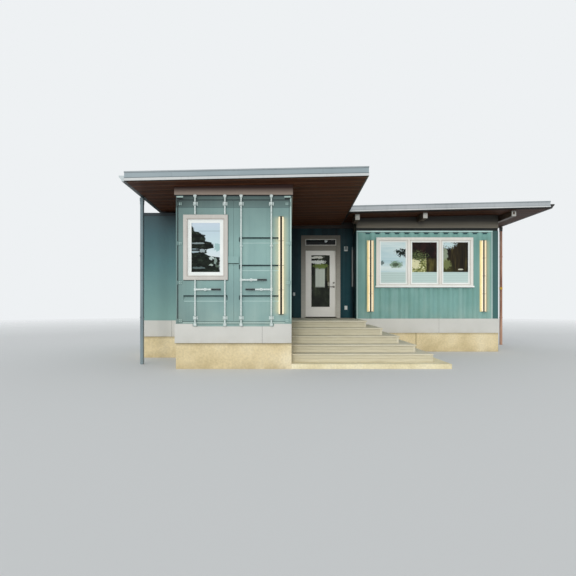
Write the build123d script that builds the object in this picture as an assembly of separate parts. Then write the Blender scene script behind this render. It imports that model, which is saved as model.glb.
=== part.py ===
from build123d import *
from math import atan, degrees
import os

# Cabin made of two steel box modules, a flat panelled wing and two low roofs.
# Millimetres. X runs to the right along the front, Y to the back, Z up.
# The origin is under the middle of the foundation wall of the cargo-door end.

# Foundation and floor heights
FOUNDATION_T = 150
BASE_Z = 896
SKIRT_BOTTOM_Z = 540
SKIRT_TOP_Z = 950
SKIRT_T = 22
SKIRT_NOTCH_MARGIN = 55
FLOOR_T = 69
SEAM = 2

# Left module, its cargo-door end at the front
LEFT_W = 2438
LEFT_L = 6058
LEFT_H = 2896
WALL_T = 126
CEILING_T = 60

# Right module, its long side at the front
ENTRY_BAY_W = 1886
RIGHT_L = 4091
RIGHT_D = 2438
RIGHT_H = 2591
PORCH_RECESS = 711
TRIM_W = 45
TRIM_T = 8
CORNER_STRIP_W = 161

# Plain doorways from the left module to the rooms beside it
LINK_W = 900
LINK_H = 2050
LINK_SETBACK = 300
WING_LINK_SETBACK = 900

# Wing beside the left module
WING_W = 1357
WING_FRONT_SETBACK = 2097
WING_WALL_T = 140
WING_DROP = 92
WING_ROOF_T = 60

# Pressed steel ribs of the module walls
RIB_PITCH = 282
RIB_DEPTH = 36
RIB_FLAT = 72
RIB_MARGIN = 110

# Cargo doors
END_FRAME_D = 178
POST_FACE = 49
CORNER_PLATE = (139, 10, 52)
CORNER_PLATE_DROP = 130
SILL_H = 95
HEADER_H = 228
LEAF_T = 62
LEAF_GAP = 4
LEAF_REBATE = 70
JAMB_LAP = 77
PRESSING_H = 115
PRESSING_DEPTH = 38
PRESSING_LEDGE_H = 24
PRESSING_TOPS = (2777, 2197, 1552)
PRESSING_INSET = 131
PRESSING_OUTSET = 108

# Locking bars
BAR_R = 17
BAR_STANDOFF = 46
BAR_OFFSETS = (-806, -180, 160, 795)
BAR_FOOT_RISE = 7
BAR_HEAD_DROP = 124
BAR_CUT_GAP = 3
GUIDE_W = 96
GUIDE_H = 70
GUIDE_HEIGHTS = (1077, 3480)
MID_GUIDE_Z = 2592
MID_GUIDE_W = 62
MID_GUIDE_H = 34
GUIDE_PLATE_T = 8
GUIDE_CLEAR = 0.3
GUIDE_WALL = 9
KEEPER_W = 70
KEEPER_NECK_W = 52
KEEPER_H = 46
KEEPER_DROP = 12
HANDLE_L = 540
HANDLE_H = 34
HANDLE_T = 16
HANDLE_HUB_WALL = 9
HANDLE_HUB_H = 62
HANDLE_GRIP_L = 205
HANDLE_GRIP_H = 40
HANDLE_CATCH_X = 189
HANDLE_CATCH_W = 46
HANDLE_CATCH_H = 58
HANDLE_HEIGHTS = (1674, 1875, 1674)
HINGE_HEIGHTS = (1018, 1820, 2646, 3477)
HINGE_W = 96
HINGE_H = 58
HINGE_T = 12
HINGE_PIN_R = 13
LOCK_BOX_Z = 2227
LOCK_BOX_H = 143
LOCK_BOX_W = 223
LOCK_BOX_D = 44
LOCK_BOX_WALL = 8

# Window in the left cargo leaf
LEFT_WINDOW_X = (-1061, -123)
LEFT_WINDOW_Z = (1875, 3248)
CASING_W = 92
CASING_T = 28
CASING_LAP = 10
WINDOW_FRAME_W = 86
WINDOW_FRAME_T = 90
WINDOW_FRAME_BACK = 12
SASH_W = 42
SASH_BACK = 7
GLASS_T = 24

# Window of three lites in the right module
RIGHT_WINDOW_X = (3676, 6470)
RIGHT_WINDOW_Z = (1851, 3291)
MULLION_W = 96
LITE_FRAME_W = 55
LITE_SASH_W = 30
SILL_EXTRA = 22

# Linear wall lights
LIGHT_W = 104
LIGHT_L = 2060
LIGHT_Z = 1148
LIGHT_T = 60
LIGHT_BASE_T = 22
LIGHT_BASE_W = 68
LIGHT_BASE_SHORT = 40
LIGHT_SLOT_W = 36
LIGHT_WEB_T = 10
LIGHT_SEAT = 12
LIGHT_ON_LEAF_X = 1001
LIGHT_ON_WALL_X = (3508, 6762)

# Entry door
DOOR_X = 1655
DOOR_W = 930
DOOR_H = 2036
DOOR_T = 45
DOOR_SILL_T = 12
DOOR_GAP = 6
JAMB_T = 45
STOP_T = 12
TRANSOM_H = 155
TRANSOM_BAR = 150
TRANSOM_HEAD = 45
ENTRY_CASING_W = 102
ENTRY_CASING_TOP = 131
DOOR_STILE_W = 184
DOOR_TOP_RAIL = 149
DOOR_BOTTOM_RAIL = 300
DOOR_BEAD_W = 26
DOOR_BEAD_T = 7
LEVER_Z = 1898
DEADBOLT_Z = 2020
LOCK_BACKSET = 62
ROSE_R = 32
LEVER_R = 9
LEVER_REACH = 55
LEVER_LENGTH = 115
BUTT_END = 220
BUTT_HEIGHTS = (BUTT_END, DOOR_H / 2, DOOR_H - BUTT_END)
BUTT_H = 102
BUTT_KNUCKLE_R = 8
BUTT_PIN_R = 5
BUTT_LEAF_W = 28
BUTT_RELIEF = 1.5
BUTT_LEAF_T = 2
BUTT_GAP = 0.5

# Small fittings on the porch
SCONCE_X = 2886
SCONCE_Z = 2978
SCONCE_SIZE = (110, 100, 140)
SCONCE_PLATE_T = 14
SCONCE_SHADE_R = (48, 34)
SCONCE_SHADE_H = 104
OUTLET_X = 2883
OUTLET_Z = 1200
OUTLET_SIZE = (80, 45, 120)
OUTLET_SLANT = 22
CHIME_X = 1312
CHIME_Z = 1620
CHIME_SIZE = (60, 30, 100)
CHIME_PLATE_T = 14
CHIME_BUTTON_R = 15
BEAD_X = 3080
BEAD_Z = 1900
BEAD_SIZE = (28, 30, 1205)

# Porch deck and steps
DECK_TOP_Z = 950
DECK_T = 38
DECK_NOSE_SETBACK = 1958
DECK_OVERSAIL = 25
STEP_RUN = 392
STEP_SIDE_RUNS = (329, 316, 285, 271, 269)
STEP_RISE = 170
STEP_COUNT = 5
TREAD_T = 30
TREAD_NOSE = 22
RISER_T = 20
PAD_Z = 100
STRINGER_T = 45
STRINGER_COUNT = 4

# Left roof, falling to the back and to the left
LEFT_ROOF_FRONT = 460
LEFT_ROOF_WEST = 929
LEFT_ROOF_EAST = 1556
LEFT_ROOF_BACK = 300
LEFT_ROOF_RISE = 46
LEFT_ROOF_SIDE_SLOPE = 0.0208
LEFT_ROOF_BACK_SLOPE = 0.033
ROOF_DECK_T = 30
FASCIA_H = 195
FASCIA_T = 36
FASCIA_LIP_H = 55
FASCIA_LIP_T = 16
SOFFIT_T = 18
FRIEZE_DROP = 112
FRIEZE_T = 30
ENTRY_FRIEZE_DROP = 184
RAFTER_W = 60
RAFTER_COUNT = 9

# Right roof, level to the back and falling to the left
ROOF_SEAM = 2
RIGHT_ROOF_FRONT = 782
RIGHT_ROOF_EAST = 1073
RIGHT_ROOF_RISE = 362
RIGHT_ROOF_SLOPE = 0.0231
CRIPPLE_T = 90
CRIPPLE_SETBACK = 25
CRIPPLE_RECESS_H = 63
BEAM_W = 130
BEAM_H = 160
BEAM_SETBACK = 205
FRONT_BEAM_PLACES = (-56, 1819)
END_BEAM_PLACE = 175

# Gutters and downspouts
GUTTER_W = 112
GUTTER_H = 118
GUTTER_WALL = 6
GUTTER_DROP = 28
SPOUT_W = 90
SPOUT_D = 70
SPOUT_R = 14
LEFT_SPOUT_SETBACK = 795
RIGHT_SPOUT_INSET = 463
SPOUT_OFFSET = 36
SPOUT_SEAT = 0.3
COLLAR_Z = 1862
COLLAR_H = 75
COLLAR_T = 7
GUTTER_FLOOR_SHARE = 0.42
GUTTER_KNEE_SHARE = 0.6
GUTTER_KNEE_RISE = 0.35
GUTTER_LIP_RISE = 0.76

# Worked out from the values above
FRONT_Y = -FOUNDATION_T / 2
BACK_Y = FRONT_Y + LEFT_L
LEFT_X = (-LEFT_W / 2, LEFT_W / 2)
LEFT_TOP_Z = BASE_Z + LEFT_H
BAY_X = (LEFT_X[1] + SEAM, LEFT_X[1] + SEAM + ENTRY_BAY_W)
RIGHT_X = (BAY_X[1], BAY_X[1] + RIGHT_L)
RIGHT_Y = (BACK_Y - RIGHT_D, BACK_Y)
RIGHT_TOP_Z = BASE_Z + RIGHT_H
DOOR_WALL_Y = (RIGHT_Y[0] + PORCH_RECESS, RIGHT_Y[0] + PORCH_RECESS + WALL_T)
WING_X = (LEFT_X[0] - SEAM - WING_W, LEFT_X[0] - SEAM)
WING_Y = (FRONT_Y + WING_FRONT_SETBACK, BACK_Y)
FLOOR_TOP_Z = BASE_Z + FLOOR_T
WING_TOP_Z = LEFT_TOP_Z - WING_DROP
CORNER_PLATE_TOP_Z = LEFT_TOP_Z - CORNER_PLATE_DROP
LEAF_Z = BASE_Z + SILL_H
LEAF_TOP_Z = LEFT_TOP_Z - HEADER_H
BAR_BOTTOM_Z = BASE_Z + BAR_FOOT_RISE
BAR_TOP_Z = LEFT_TOP_Z - BAR_HEAD_DROP
LEFT_ROOF_Z = LEFT_TOP_Z + LEFT_ROOF_RISE
RIGHT_ROOF_Z = RIGHT_TOP_Z + RIGHT_ROOF_RISE
FRIEZE_Z = LEFT_TOP_Z - FRIEZE_DROP
ENTRY_FRIEZE_Z = RIGHT_ROOF_Z - ENTRY_FRIEZE_DROP
CRIPPLE_BOARD_Z = RIGHT_TOP_Z + CRIPPLE_RECESS_H
LEAF_FACE_Y = FRONT_Y
LEAF_BACK_Y = LEAF_FACE_Y + LEAF_T
BAR_Y = LEAF_FACE_Y - BAR_STANDOFF
LEFT_ROOF_X = (LEFT_X[0] - LEFT_ROOF_WEST, LEFT_X[1] + LEFT_ROOF_EAST)
LEFT_ROOF_Y = (FRONT_Y - LEFT_ROOF_FRONT, BACK_Y + LEFT_ROOF_BACK)
RIGHT_ROOF_X = (LEFT_ROOF_X[1] + ROOF_SEAM, RIGHT_X[1] + RIGHT_ROOF_EAST)
RIGHT_ROOF_Y = (RIGHT_Y[0] - RIGHT_ROOF_FRONT, BACK_Y + LEFT_ROOF_BACK)
BEAM_X = (RIGHT_X[0] + FRONT_BEAM_PLACES[0], RIGHT_X[0] + FRONT_BEAM_PLACES[1],
          RIGHT_X[1] + END_BEAM_PLACE)
DECK_FRONT_Y = FRONT_Y + DECK_NOSE_SETBACK
DECK_X = (BAY_X[0], BAY_X[1] + DECK_OVERSAIL)


def block(x, y, z):
    """Box between the low and high values of each axis."""
    centre = Pos((x[0] + x[1]) / 2, (y[0] + y[1]) / 2, (z[0] + z[1]) / 2)
    return centre * Box(x[1] - x[0], y[1] - y[0], z[1] - z[0])


def ring(x, y, z, wall):
    """Upright rectangular ring, open at its top and bottom."""
    inner_x = (x[0] + wall, x[1] - wall)
    inner_y = (y[0] + wall, y[1] - wall)
    return block(x, y, z) - block(inner_x, inner_y, (z[0] - 1, z[1] + 1))


def rib_grid(length, plain_start, plain_end):
    """How many ribs fit on a wall, and where the first one's outer flat is centred."""
    ribbed = length - plain_start - plain_end
    count = int(ribbed // RIB_PITCH)
    return count, plain_start + (ribbed - count * RIB_PITCH) / 2


def ribbed_wall(length, height, plain_start=RIB_MARGIN, plain_end=RIB_MARGIN):
    """Wall along +X with upright pressed ribs on its -Y face and a flat lining inside."""
    slope = (RIB_PITCH - 2 * RIB_FLAT) / 2
    count, start = rib_grid(length, plain_start, plain_end)
    points = [(0, 0)]
    for index in range(count):
        x = start + index * RIB_PITCH + RIB_FLAT / 2
        points.append((x, 0))
        points.append((x + slope, RIB_DEPTH))
        points.append((x + slope + RIB_FLAT, RIB_DEPTH))
        points.append((x + 2 * slope + RIB_FLAT, 0))
    points.append((length, 0))
    points.append((length, WALL_T))
    points.append((0, WALL_T))
    return extrude(make_face(Polyline(*points, close=True)), height, dir=(0, 0, 1))


def sloped_block(x, y, bottom_z, top_z_left, top_z_right):
    """Block whose top follows a roof that rises along X."""
    points = [(x[0], bottom_z), (x[1], bottom_z), (x[1], top_z_right), (x[0], top_z_left)]
    face = make_face(Plane.XZ * Polyline(*points, close=True))
    return Pos(0, y[0], 0) * extrude(face, y[1] - y[0], dir=(0, 1, 0))


def left_soffit_z(x, y):
    """Height of the left roof's underside."""
    rise = LEFT_ROOF_SIDE_SLOPE * (x - LEFT_ROOF_X[0])
    return LEFT_ROOF_Z + rise - LEFT_ROOF_BACK_SLOPE * (y - LEFT_ROOF_Y[0])


def right_soffit_z(x):
    """Height of the right roof's underside."""
    return RIGHT_ROOF_Z + RIGHT_ROOF_SLOPE * (x - RIGHT_ROOF_X[0])


def slab_under_left_roof(x, y, low, high):
    """Sheet parallel to the left roof, between two heights over its underside."""
    corners = [(x[0], y[0]), (x[1], y[0]), (x[1], y[1]), (x[0], y[1])]
    bottom = [(px, py, left_soffit_z(px, py) + low) for px, py in corners]
    face = make_face(Polyline(*bottom, close=True))
    return extrude(face, high - low, dir=(0, 0, 1))


def slab_under_right_roof(x, y, low, high):
    """Sheet parallel to the right roof, between two heights over its underside."""
    corners = [(x[0], y[0]), (x[1], y[0]), (x[1], y[1]), (x[0], y[1])]
    bottom = [(px, py, right_soffit_z(px) + low) for px, py in corners]
    face = make_face(Polyline(*bottom, close=True))
    return extrude(face, high - low, dir=(0, 0, 1))


def stem_walls():
    """Concrete walls from the ground to the underside of the modules."""
    z = (0, BASE_Z)
    right_x = (BAY_X[0], RIGHT_X[1])
    return {
        "stem_wall_left": ring(LEFT_X, (FRONT_Y, BACK_Y), z, FOUNDATION_T),
        "stem_wall_right": ring(right_x, RIGHT_Y, z, FOUNDATION_T),
        "stem_wall_wing": ring(WING_X, WING_Y, z, FOUNDATION_T),
    }


def skirt_boards():
    """Boards that cover the top of the foundation, one run round each part of the cabin."""
    z = (SKIRT_BOTTOM_Z, SKIRT_TOP_Z)
    t = SKIRT_T
    left = block((LEFT_X[0] - t, LEFT_X[1]), (FRONT_Y - t, FRONT_Y), z)
    left += block((LEFT_X[0] - t, LEFT_X[0]), (FRONT_Y - t, WING_Y[0] - t - SEAM), z)
    notch_x = (BAR_OFFSETS[0] - SKIRT_NOTCH_MARGIN, BAR_OFFSETS[-1] + SKIRT_NOTCH_MARGIN)
    left -= block(notch_x, (FRONT_Y - t - 1, FRONT_Y + 1), (BASE_Z, SKIRT_TOP_Z + 1))
    back_x = (WING_X[0] - t, RIGHT_X[1] + t)
    back = block(back_x, (BACK_Y, BACK_Y + t), z)
    wing = block((WING_X[0] - t, WING_X[0]), (WING_Y[0] - t, BACK_Y), z)
    wing += block((WING_X[0] - t, WING_X[1]), (WING_Y[0] - t, WING_Y[0]), z)
    right = block((RIGHT_X[1], RIGHT_X[1] + t), (RIGHT_Y[0] - t, BACK_Y), z)
    front_x = (DECK_X[1] + SEAM, RIGHT_X[1] + t)
    right += block(front_x, (RIGHT_Y[0] - t, RIGHT_Y[0]), z)
    return Compound(children=[left, wing + back + right])


def floors():
    """Floor panels between the walls, resting on the foundation."""
    z = (BASE_Z, FLOOR_TOP_Z)
    left = block((LEFT_X[0] + WALL_T, LEFT_X[1] - WALL_T),
                 (FRONT_Y + END_FRAME_D, BACK_Y - WALL_T), z)
    right = block((BAY_X[0], RIGHT_X[1] - WALL_T), (DOOR_WALL_Y[1], BACK_Y - WALL_T), z)
    right += block((RIGHT_X[0] + WALL_T, RIGHT_X[1] - WALL_T),
                   (RIGHT_Y[0] + WALL_T, DOOR_WALL_Y[1]), z)
    wing = block((WING_X[0] + WING_WALL_T, WING_X[1]),
                 (WING_Y[0] + WING_WALL_T, BACK_Y - WING_WALL_T), z)
    return Compound(children=[left, right, wing])


def end_frame():
    """Welded portal of the cargo-door end, rebated for the two leaves, with its corner plates."""
    opening = LEFT_W / 2 - POST_FACE
    inner = opening - JAMB_LAP
    frame = block(LEFT_X, (FRONT_Y, FRONT_Y + END_FRAME_D), (BASE_Z, LEFT_TOP_Z))
    frame -= block((-opening, opening), (FRONT_Y - 1, FRONT_Y + LEAF_REBATE),
                   (LEAF_Z, LEAF_TOP_Z))
    frame -= block((-inner, inner), (FRONT_Y, FRONT_Y + END_FRAME_D + 1),
                   (LEAF_Z + LEAF_GAP, LEAF_TOP_Z - JAMB_LAP))
    plate_w, plate_t, plate_h = CORNER_PLATE
    for x in ((LEFT_X[0], LEFT_X[0] + plate_w), (LEFT_X[1] - plate_w, LEFT_X[1])):
        frame += block(x, (FRONT_Y - plate_t, FRONT_Y), (CORNER_PLATE_TOP_Z - plate_h, CORNER_PLATE_TOP_Z))
    return frame


def left_side_wall(side, doorway_y):
    """Long wall of the left module with a plain doorway to the room beside it."""
    length = LEFT_L - END_FRAME_D
    height = LEFT_H
    if side < 0:
        wall = Pos(LEFT_X[0], BACK_Y, BASE_Z) * Rot(0, 0, -90) * ribbed_wall(length, height)
        x = (LEFT_X[0] - 1, LEFT_X[0] + WALL_T + 1)
    else:
        wall = Pos(LEFT_X[1], FRONT_Y + END_FRAME_D, BASE_Z) * Rot(0, 0, 90)
        wall = wall * ribbed_wall(length, height)
        x = (LEFT_X[1] - WALL_T - 1, LEFT_X[1] + 1)
    return wall - block(x, (doorway_y, doorway_y + LINK_W), (FLOOR_TOP_Z, FLOOR_TOP_Z + LINK_H))


def left_shell():
    """End frame, side walls and back wall of the left module."""
    inner_x = (LEFT_X[0] + WALL_T, LEFT_X[1] - WALL_T)
    back = Pos(inner_x[1], BACK_Y, BASE_Z) * Rot(0, 0, 180)
    back = back * ribbed_wall(inner_x[1] - inner_x[0], LEFT_H)
    wing_door_y = WING_Y[0] + WING_WALL_T + WING_LINK_SETBACK
    bay_door_y = DOOR_WALL_Y[1] + LINK_SETBACK
    return {
        "left_end_frame": end_frame(),
        "left_west_wall": left_side_wall(-1, wing_door_y),
        "left_east_wall": left_side_wall(1, bay_door_y),
        "left_back_wall": back,
    }


def ceilings():
    """Roof panel of each steel module, set between its walls."""
    left = block((LEFT_X[0] + WALL_T, LEFT_X[1] - WALL_T),
                 (FRONT_Y + END_FRAME_D, BACK_Y - WALL_T), (LEFT_TOP_Z - CEILING_T, LEFT_TOP_Z))
    right = block((RIGHT_X[0] + WALL_T, RIGHT_X[1] - WALL_T),
                  (RIGHT_Y[0] + WALL_T, RIGHT_Y[1] - WALL_T), (RIGHT_TOP_Z - CEILING_T, RIGHT_TOP_Z))
    return Compound(children=[left, right])


def pressing(x, top):
    """Cut of one recess: a square ledge at its top, and a face that slopes out to its foot."""
    deep_y = LEAF_FACE_Y + PRESSING_DEPTH
    outline = [(LEAF_FACE_Y - 1, top), (deep_y, top), (deep_y, top - PRESSING_LEDGE_H),
               (LEAF_FACE_Y, top - PRESSING_H), (LEAF_FACE_Y - 1, top - PRESSING_H)]
    face = make_face(Plane.YZ * Polyline(*outline, close=True))
    return Pos(x[0], 0, 0) * extrude(face, x[1] - x[0], dir=(1, 0, 0))


def cargo_leaf(side):
    """Cargo door leaf with pressed recesses across its face."""
    outer = LEFT_W / 2 - POST_FACE - LEAF_GAP
    inner = LEAF_GAP / 2
    y = (LEAF_FACE_Y, LEAF_BACK_Y)
    span = sorted((side * inner, side * outer))
    leaf = block(span, y, (LEAF_Z + LEAF_GAP, LEAF_TOP_Z - LEAF_GAP))
    pressing_x = sorted((side * PRESSING_INSET, side * (outer - PRESSING_OUTSET + LEAF_GAP)))
    for top in PRESSING_TOPS:
        leaf -= pressing(pressing_x, top)
    return leaf


def cargo_doors():
    """Both leaves, the left one cut for its window."""
    hole_x = (LEFT_WINDOW_X[0] + CASING_W - CASING_LAP, LEFT_WINDOW_X[1] - CASING_W + CASING_LAP)
    hole_z = (LEFT_WINDOW_Z[0] + CASING_W - CASING_LAP, LEFT_WINDOW_Z[1] - CASING_W + CASING_LAP)
    left = cargo_leaf(-1) - block(hole_x, (LEAF_FACE_Y - 1, LEAF_BACK_Y + 1), hole_z)
    return {"cargo_leaf_left": left, "cargo_leaf_right": cargo_leaf(1)}


def bar_spans(offset):
    """Heights between which one locking bar runs, cut where the window stands."""
    whole = [(BAR_BOTTOM_Z, BAR_TOP_Z)]
    near_window = LEFT_WINDOW_X[0] - BAR_R < offset < LEFT_WINDOW_X[1] + BAR_R
    if not near_window:
        return whole
    lower = (BAR_BOTTOM_Z, LEFT_WINDOW_Z[0] - BAR_CUT_GAP)
    upper = (LEFT_WINDOW_Z[1] + BAR_CUT_GAP, BAR_TOP_Z)
    return [lower, upper]


def locking_bars():
    """Upright locking bars of the cargo doors."""
    bars = []
    for offset in BAR_OFFSETS:
        for low, high in bar_spans(offset):
            bar = Cylinder(BAR_R, high - low)
            bars.append(Pos(offset, BAR_Y, (low + high) / 2) * bar)
    return Compound(children=bars)


def bar_guide(width, height):
    """Bracket with a foot plate on the leaf and a round-nosed bearing bored for the bar."""
    plate = block((-width / 2, width / 2), (LEAF_FACE_Y - GUIDE_PLATE_T, LEAF_FACE_Y),
                  (-height / 2, height / 2))
    nose_r = BAR_R + GUIDE_WALL
    bearing = block((-nose_r, nose_r), (BAR_Y, LEAF_FACE_Y), (-height / 2, height / 2))
    bearing += Pos(0, BAR_Y, 0) * Cylinder(nose_r, height)
    bore = Pos(0, BAR_Y, 0) * Cylinder(BAR_R + GUIDE_CLEAR, height + 2)
    return plate + bearing - bore


def bar_guides():
    """Guides that hold each bar to its leaf."""
    guides = []
    for offset in BAR_OFFSETS:
        for height in GUIDE_HEIGHTS:
            guides.append(Pos(offset, 0, height) * bar_guide(GUIDE_W, GUIDE_H))
        if len(bar_spans(offset)) == 1:
            guides.append(Pos(offset, 0, MID_GUIDE_Z) * bar_guide(MID_GUIDE_W, MID_GUIDE_H))
    return Compound(children=guides)


def bar_keepers():
    """Cam keepers on the sill and header that catch the bar ends, flared towards the ends."""
    half_h = KEEPER_H / 2
    outline = [(-KEEPER_W / 2, -half_h), (KEEPER_W / 2, -half_h), (KEEPER_NECK_W / 2, half_h),
               (-KEEPER_NECK_W / 2, half_h)]
    face = make_face(Plane.XZ * Polyline(*outline, close=True))
    front_y = BAR_Y - BAR_R - GUIDE_WALL
    flared = Pos(0, front_y, 0) * extrude(face, FRONT_Y - front_y, dir=(0, 1, 0))
    flared -= Pos(0, BAR_Y, 0) * Cylinder(BAR_R + GUIDE_CLEAR, KEEPER_H + 2)
    keepers = []
    for offset in BAR_OFFSETS:
        keepers.append(Pos(offset, 0, BAR_BOTTOM_Z + KEEPER_DROP + half_h) * flared)
        keepers.append(Pos(offset, 0, BAR_TOP_Z - KEEPER_DROP - half_h) * mirror(flared, Plane.XY))
    return Compound(children=keepers)


def bar_handle(bar_x, z, direction):
    """Swinging handle clipped flat against the leaf: collar, arm, grip and the catch behind it."""
    collar_r = BAR_R + HANDLE_HUB_WALL
    arm_y = (BAR_Y - collar_r, BAR_Y - collar_r + HANDLE_T)
    arm_x = sorted((0, direction * (HANDLE_L - HANDLE_GRIP_L / 2)))
    handle = block(arm_x, arm_y, (-HANDLE_H / 2, HANDLE_H / 2))
    grip = extrude(Plane.XZ * SlotOverall(HANDLE_GRIP_L, HANDLE_GRIP_H), HANDLE_T, dir=(0, 1, 0))
    handle += Pos(direction * (HANDLE_L - HANDLE_GRIP_L / 2), arm_y[0], 0) * grip
    handle += Pos(0, BAR_Y, 0) * Cylinder(collar_r, HANDLE_HUB_H)
    catch_x = sorted((direction * HANDLE_CATCH_X, direction * (HANDLE_CATCH_X + HANDLE_CATCH_W)))
    handle += block(catch_x, (arm_y[1], LEAF_FACE_Y), (-HANDLE_CATCH_H / 2, HANDLE_CATCH_H / 2))
    handle -= Pos(0, BAR_Y, 0) * Cylinder(BAR_R + GUIDE_CLEAR, HANDLE_HUB_H + 2)
    return Pos(bar_x, 0, z) * handle


def bar_handles():
    """The three handles that show, each lying over the middle of its leaf."""
    leaf_middle = (LEFT_W / 2 - POST_FACE) / 2
    handles = []
    for bar_x, z in zip((BAR_OFFSETS[0], BAR_OFFSETS[2], BAR_OFFSETS[3]), HANDLE_HEIGHTS):
        leaf_x = leaf_middle if bar_x > 0 else -leaf_middle
        handles.append(bar_handle(bar_x, z, 1 if bar_x < leaf_x else -1))
    return Compound(children=handles)


def cargo_hinges():
    """Hinge blades and pins at the outer edges of both leaves."""
    hinges = []
    edge = LEFT_W / 2 - POST_FACE
    for side in (-1, 1):
        for height in HINGE_HEIGHTS:
            x = sorted((side * (edge + 16), side * (edge - HINGE_W + 16)))
            y = (FRONT_Y - HINGE_T, FRONT_Y)
            blade = block(x, y, (height - HINGE_H / 2, height + HINGE_H / 2))
            pin = Pos(side * (edge + 16), FRONT_Y - HINGE_PIN_R, height)
            blade += pin * Cylinder(HINGE_PIN_R, HINGE_H + 24)
            hinges.append(blade)
    return Compound(children=hinges)


def lock_box():
    """Steel box over the meeting edges, open underneath, that shields a padlock."""
    x = (-LOCK_BOX_W / 2, LOCK_BOX_W / 2)
    y = (FRONT_Y - LOCK_BOX_D, FRONT_Y)
    z = (LOCK_BOX_Z, LOCK_BOX_Z + LOCK_BOX_H)
    inner_x = (x[0] + LOCK_BOX_WALL, x[1] - LOCK_BOX_WALL)
    inner_y = (y[0] + LOCK_BOX_WALL, y[1] - LOCK_BOX_WALL)
    return block(x, y, z) - block(inner_x, inner_y, (z[0] - 1, z[1] - LOCK_BOX_WALL))


def rect_ring(x, y, z, wall):
    """Flat frame in the XZ plane."""
    hole = block((x[0] + wall, x[1] - wall), (y[0] - 1, y[1] + 1), (z[0] + wall, z[1] - wall))
    return block(x, y, z) - hole


def inset(span, amount):
    """Span made shorter by the same amount at both ends."""
    return (span[0] + amount, span[1] - amount)


def window_frame(x, y, z, width, sash_width):
    """Square frame of a window with its sash set a little behind the frame's face."""
    frame = rect_ring(x, y, z, width)
    rim = width - sash_width
    return frame - block(inset(x, rim), (y[0] - 1, y[0] + SASH_BACK), inset(z, rim))


def left_window():
    """Casing, frame and pane in the left cargo leaf."""
    casing = rect_ring(LEFT_WINDOW_X, (LEAF_FACE_Y - CASING_T, LEAF_FACE_Y), LEFT_WINDOW_Z, CASING_W)
    frame_x = inset(LEFT_WINDOW_X, CASING_W - CASING_LAP)
    frame_z = inset(LEFT_WINDOW_Z, CASING_W - CASING_LAP)
    frame_y = (LEAF_FACE_Y, LEAF_FACE_Y + WINDOW_FRAME_T)
    frame = window_frame(frame_x, frame_y, frame_z, WINDOW_FRAME_W, SASH_W)
    glass_y = (frame_y[0] + WINDOW_FRAME_BACK, frame_y[0] + WINDOW_FRAME_BACK + GLASS_T)
    glass = block(inset(frame_x, WINDOW_FRAME_W), glass_y, inset(frame_z, WINDOW_FRAME_W))
    return casing, frame, glass


def right_lites():
    """Left and right edge of each lite of the right module's window."""
    frame_x = inset(RIGHT_WINDOW_X, CASING_W)
    width = (frame_x[1] - frame_x[0] - 2 * MULLION_W) / 3
    return [(frame_x[0] + i * (width + MULLION_W), frame_x[0] + i * (width + MULLION_W) + width)
            for i in range(3)]


def right_window():
    """Casing with mullions, three frames and three panes in the right module."""
    face_y = RIGHT_Y[0]
    casing = rect_ring(RIGHT_WINDOW_X, (face_y - CASING_T, face_y), RIGHT_WINDOW_Z, CASING_W)
    lites = right_lites()
    z = inset(RIGHT_WINDOW_Z, CASING_W)
    for index in range(2):
        x = (lites[index][1], lites[index + 1][0])
        casing += block(x, (face_y - CASING_T, face_y), z)
    sill_x = (RIGHT_WINDOW_X[0] - SILL_EXTRA, RIGHT_WINDOW_X[1] + SILL_EXTRA)
    sill_z = (RIGHT_WINDOW_Z[0], RIGHT_WINDOW_Z[0] + CASING_W / 2)
    casing += block(sill_x, (face_y - CASING_T - SILL_EXTRA, face_y), sill_z)
    frames = []
    panes = []
    frame_y = (face_y, face_y + WINDOW_FRAME_T)
    glass_y = (frame_y[0] + WINDOW_FRAME_BACK, frame_y[0] + WINDOW_FRAME_BACK + GLASS_T)
    for lite in lites:
        frame_x = inset(lite, -CASING_LAP)
        frame_z = inset(z, -CASING_LAP)
        frames.append(window_frame(frame_x, frame_y, frame_z, LITE_FRAME_W, LITE_SASH_W))
        panes.append(block(inset(frame_x, LITE_FRAME_W), glass_y, inset(frame_z, LITE_FRAME_W)))
    return casing, frames, panes


def windows():
    """Window pieces of both modules, alike pieces together."""
    left_casing, left_frame, left_pane = left_window()
    right_casing, right_frames, right_panes = right_window()
    return {
        "window_casings": Compound(children=[left_casing, right_casing]),
        "window_frames": Compound(children=[left_frame] + right_frames),
        "window_glass": Compound(children=[left_pane] + right_panes),
    }


def wall_light(x, face_y):
    """Linear light: a flat back box with two lit rails and a dark slot between them."""
    z = (LIGHT_Z, LIGHT_Z + LIGHT_L)
    half = LIGHT_W / 2
    base_x = (x - LIGHT_BASE_W / 2, x + LIGHT_BASE_W / 2)
    base = block(base_x, (face_y - LIGHT_BASE_T, face_y), inset(z, LIGHT_BASE_SHORT))
    rails = block((x - half, x + half), (face_y - LIGHT_T, face_y - LIGHT_BASE_T), z)
    slot_x = (x - LIGHT_SLOT_W / 2, x + LIGHT_SLOT_W / 2)
    slot_y = (face_y - LIGHT_T - 1, face_y - LIGHT_BASE_T - LIGHT_WEB_T)
    rails -= block(slot_x, slot_y, (z[0] - 1, z[1] + 1))
    return base + rails


def seat_on_flat(x, half_width):
    """Place along the right module's front where a fixture's base meets an outer flat."""
    count, start = rib_grid(RIGHT_L, RIB_MARGIN, CORNER_STRIP_W)
    index = max(0, min(count, round((x - RIGHT_X[0] - start) / RIB_PITCH)))
    flat = RIGHT_X[0] + start + index * RIB_PITCH
    reach = RIB_FLAT / 2 + half_width - LIGHT_SEAT
    return max(flat - reach, min(flat + reach, x))


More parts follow.
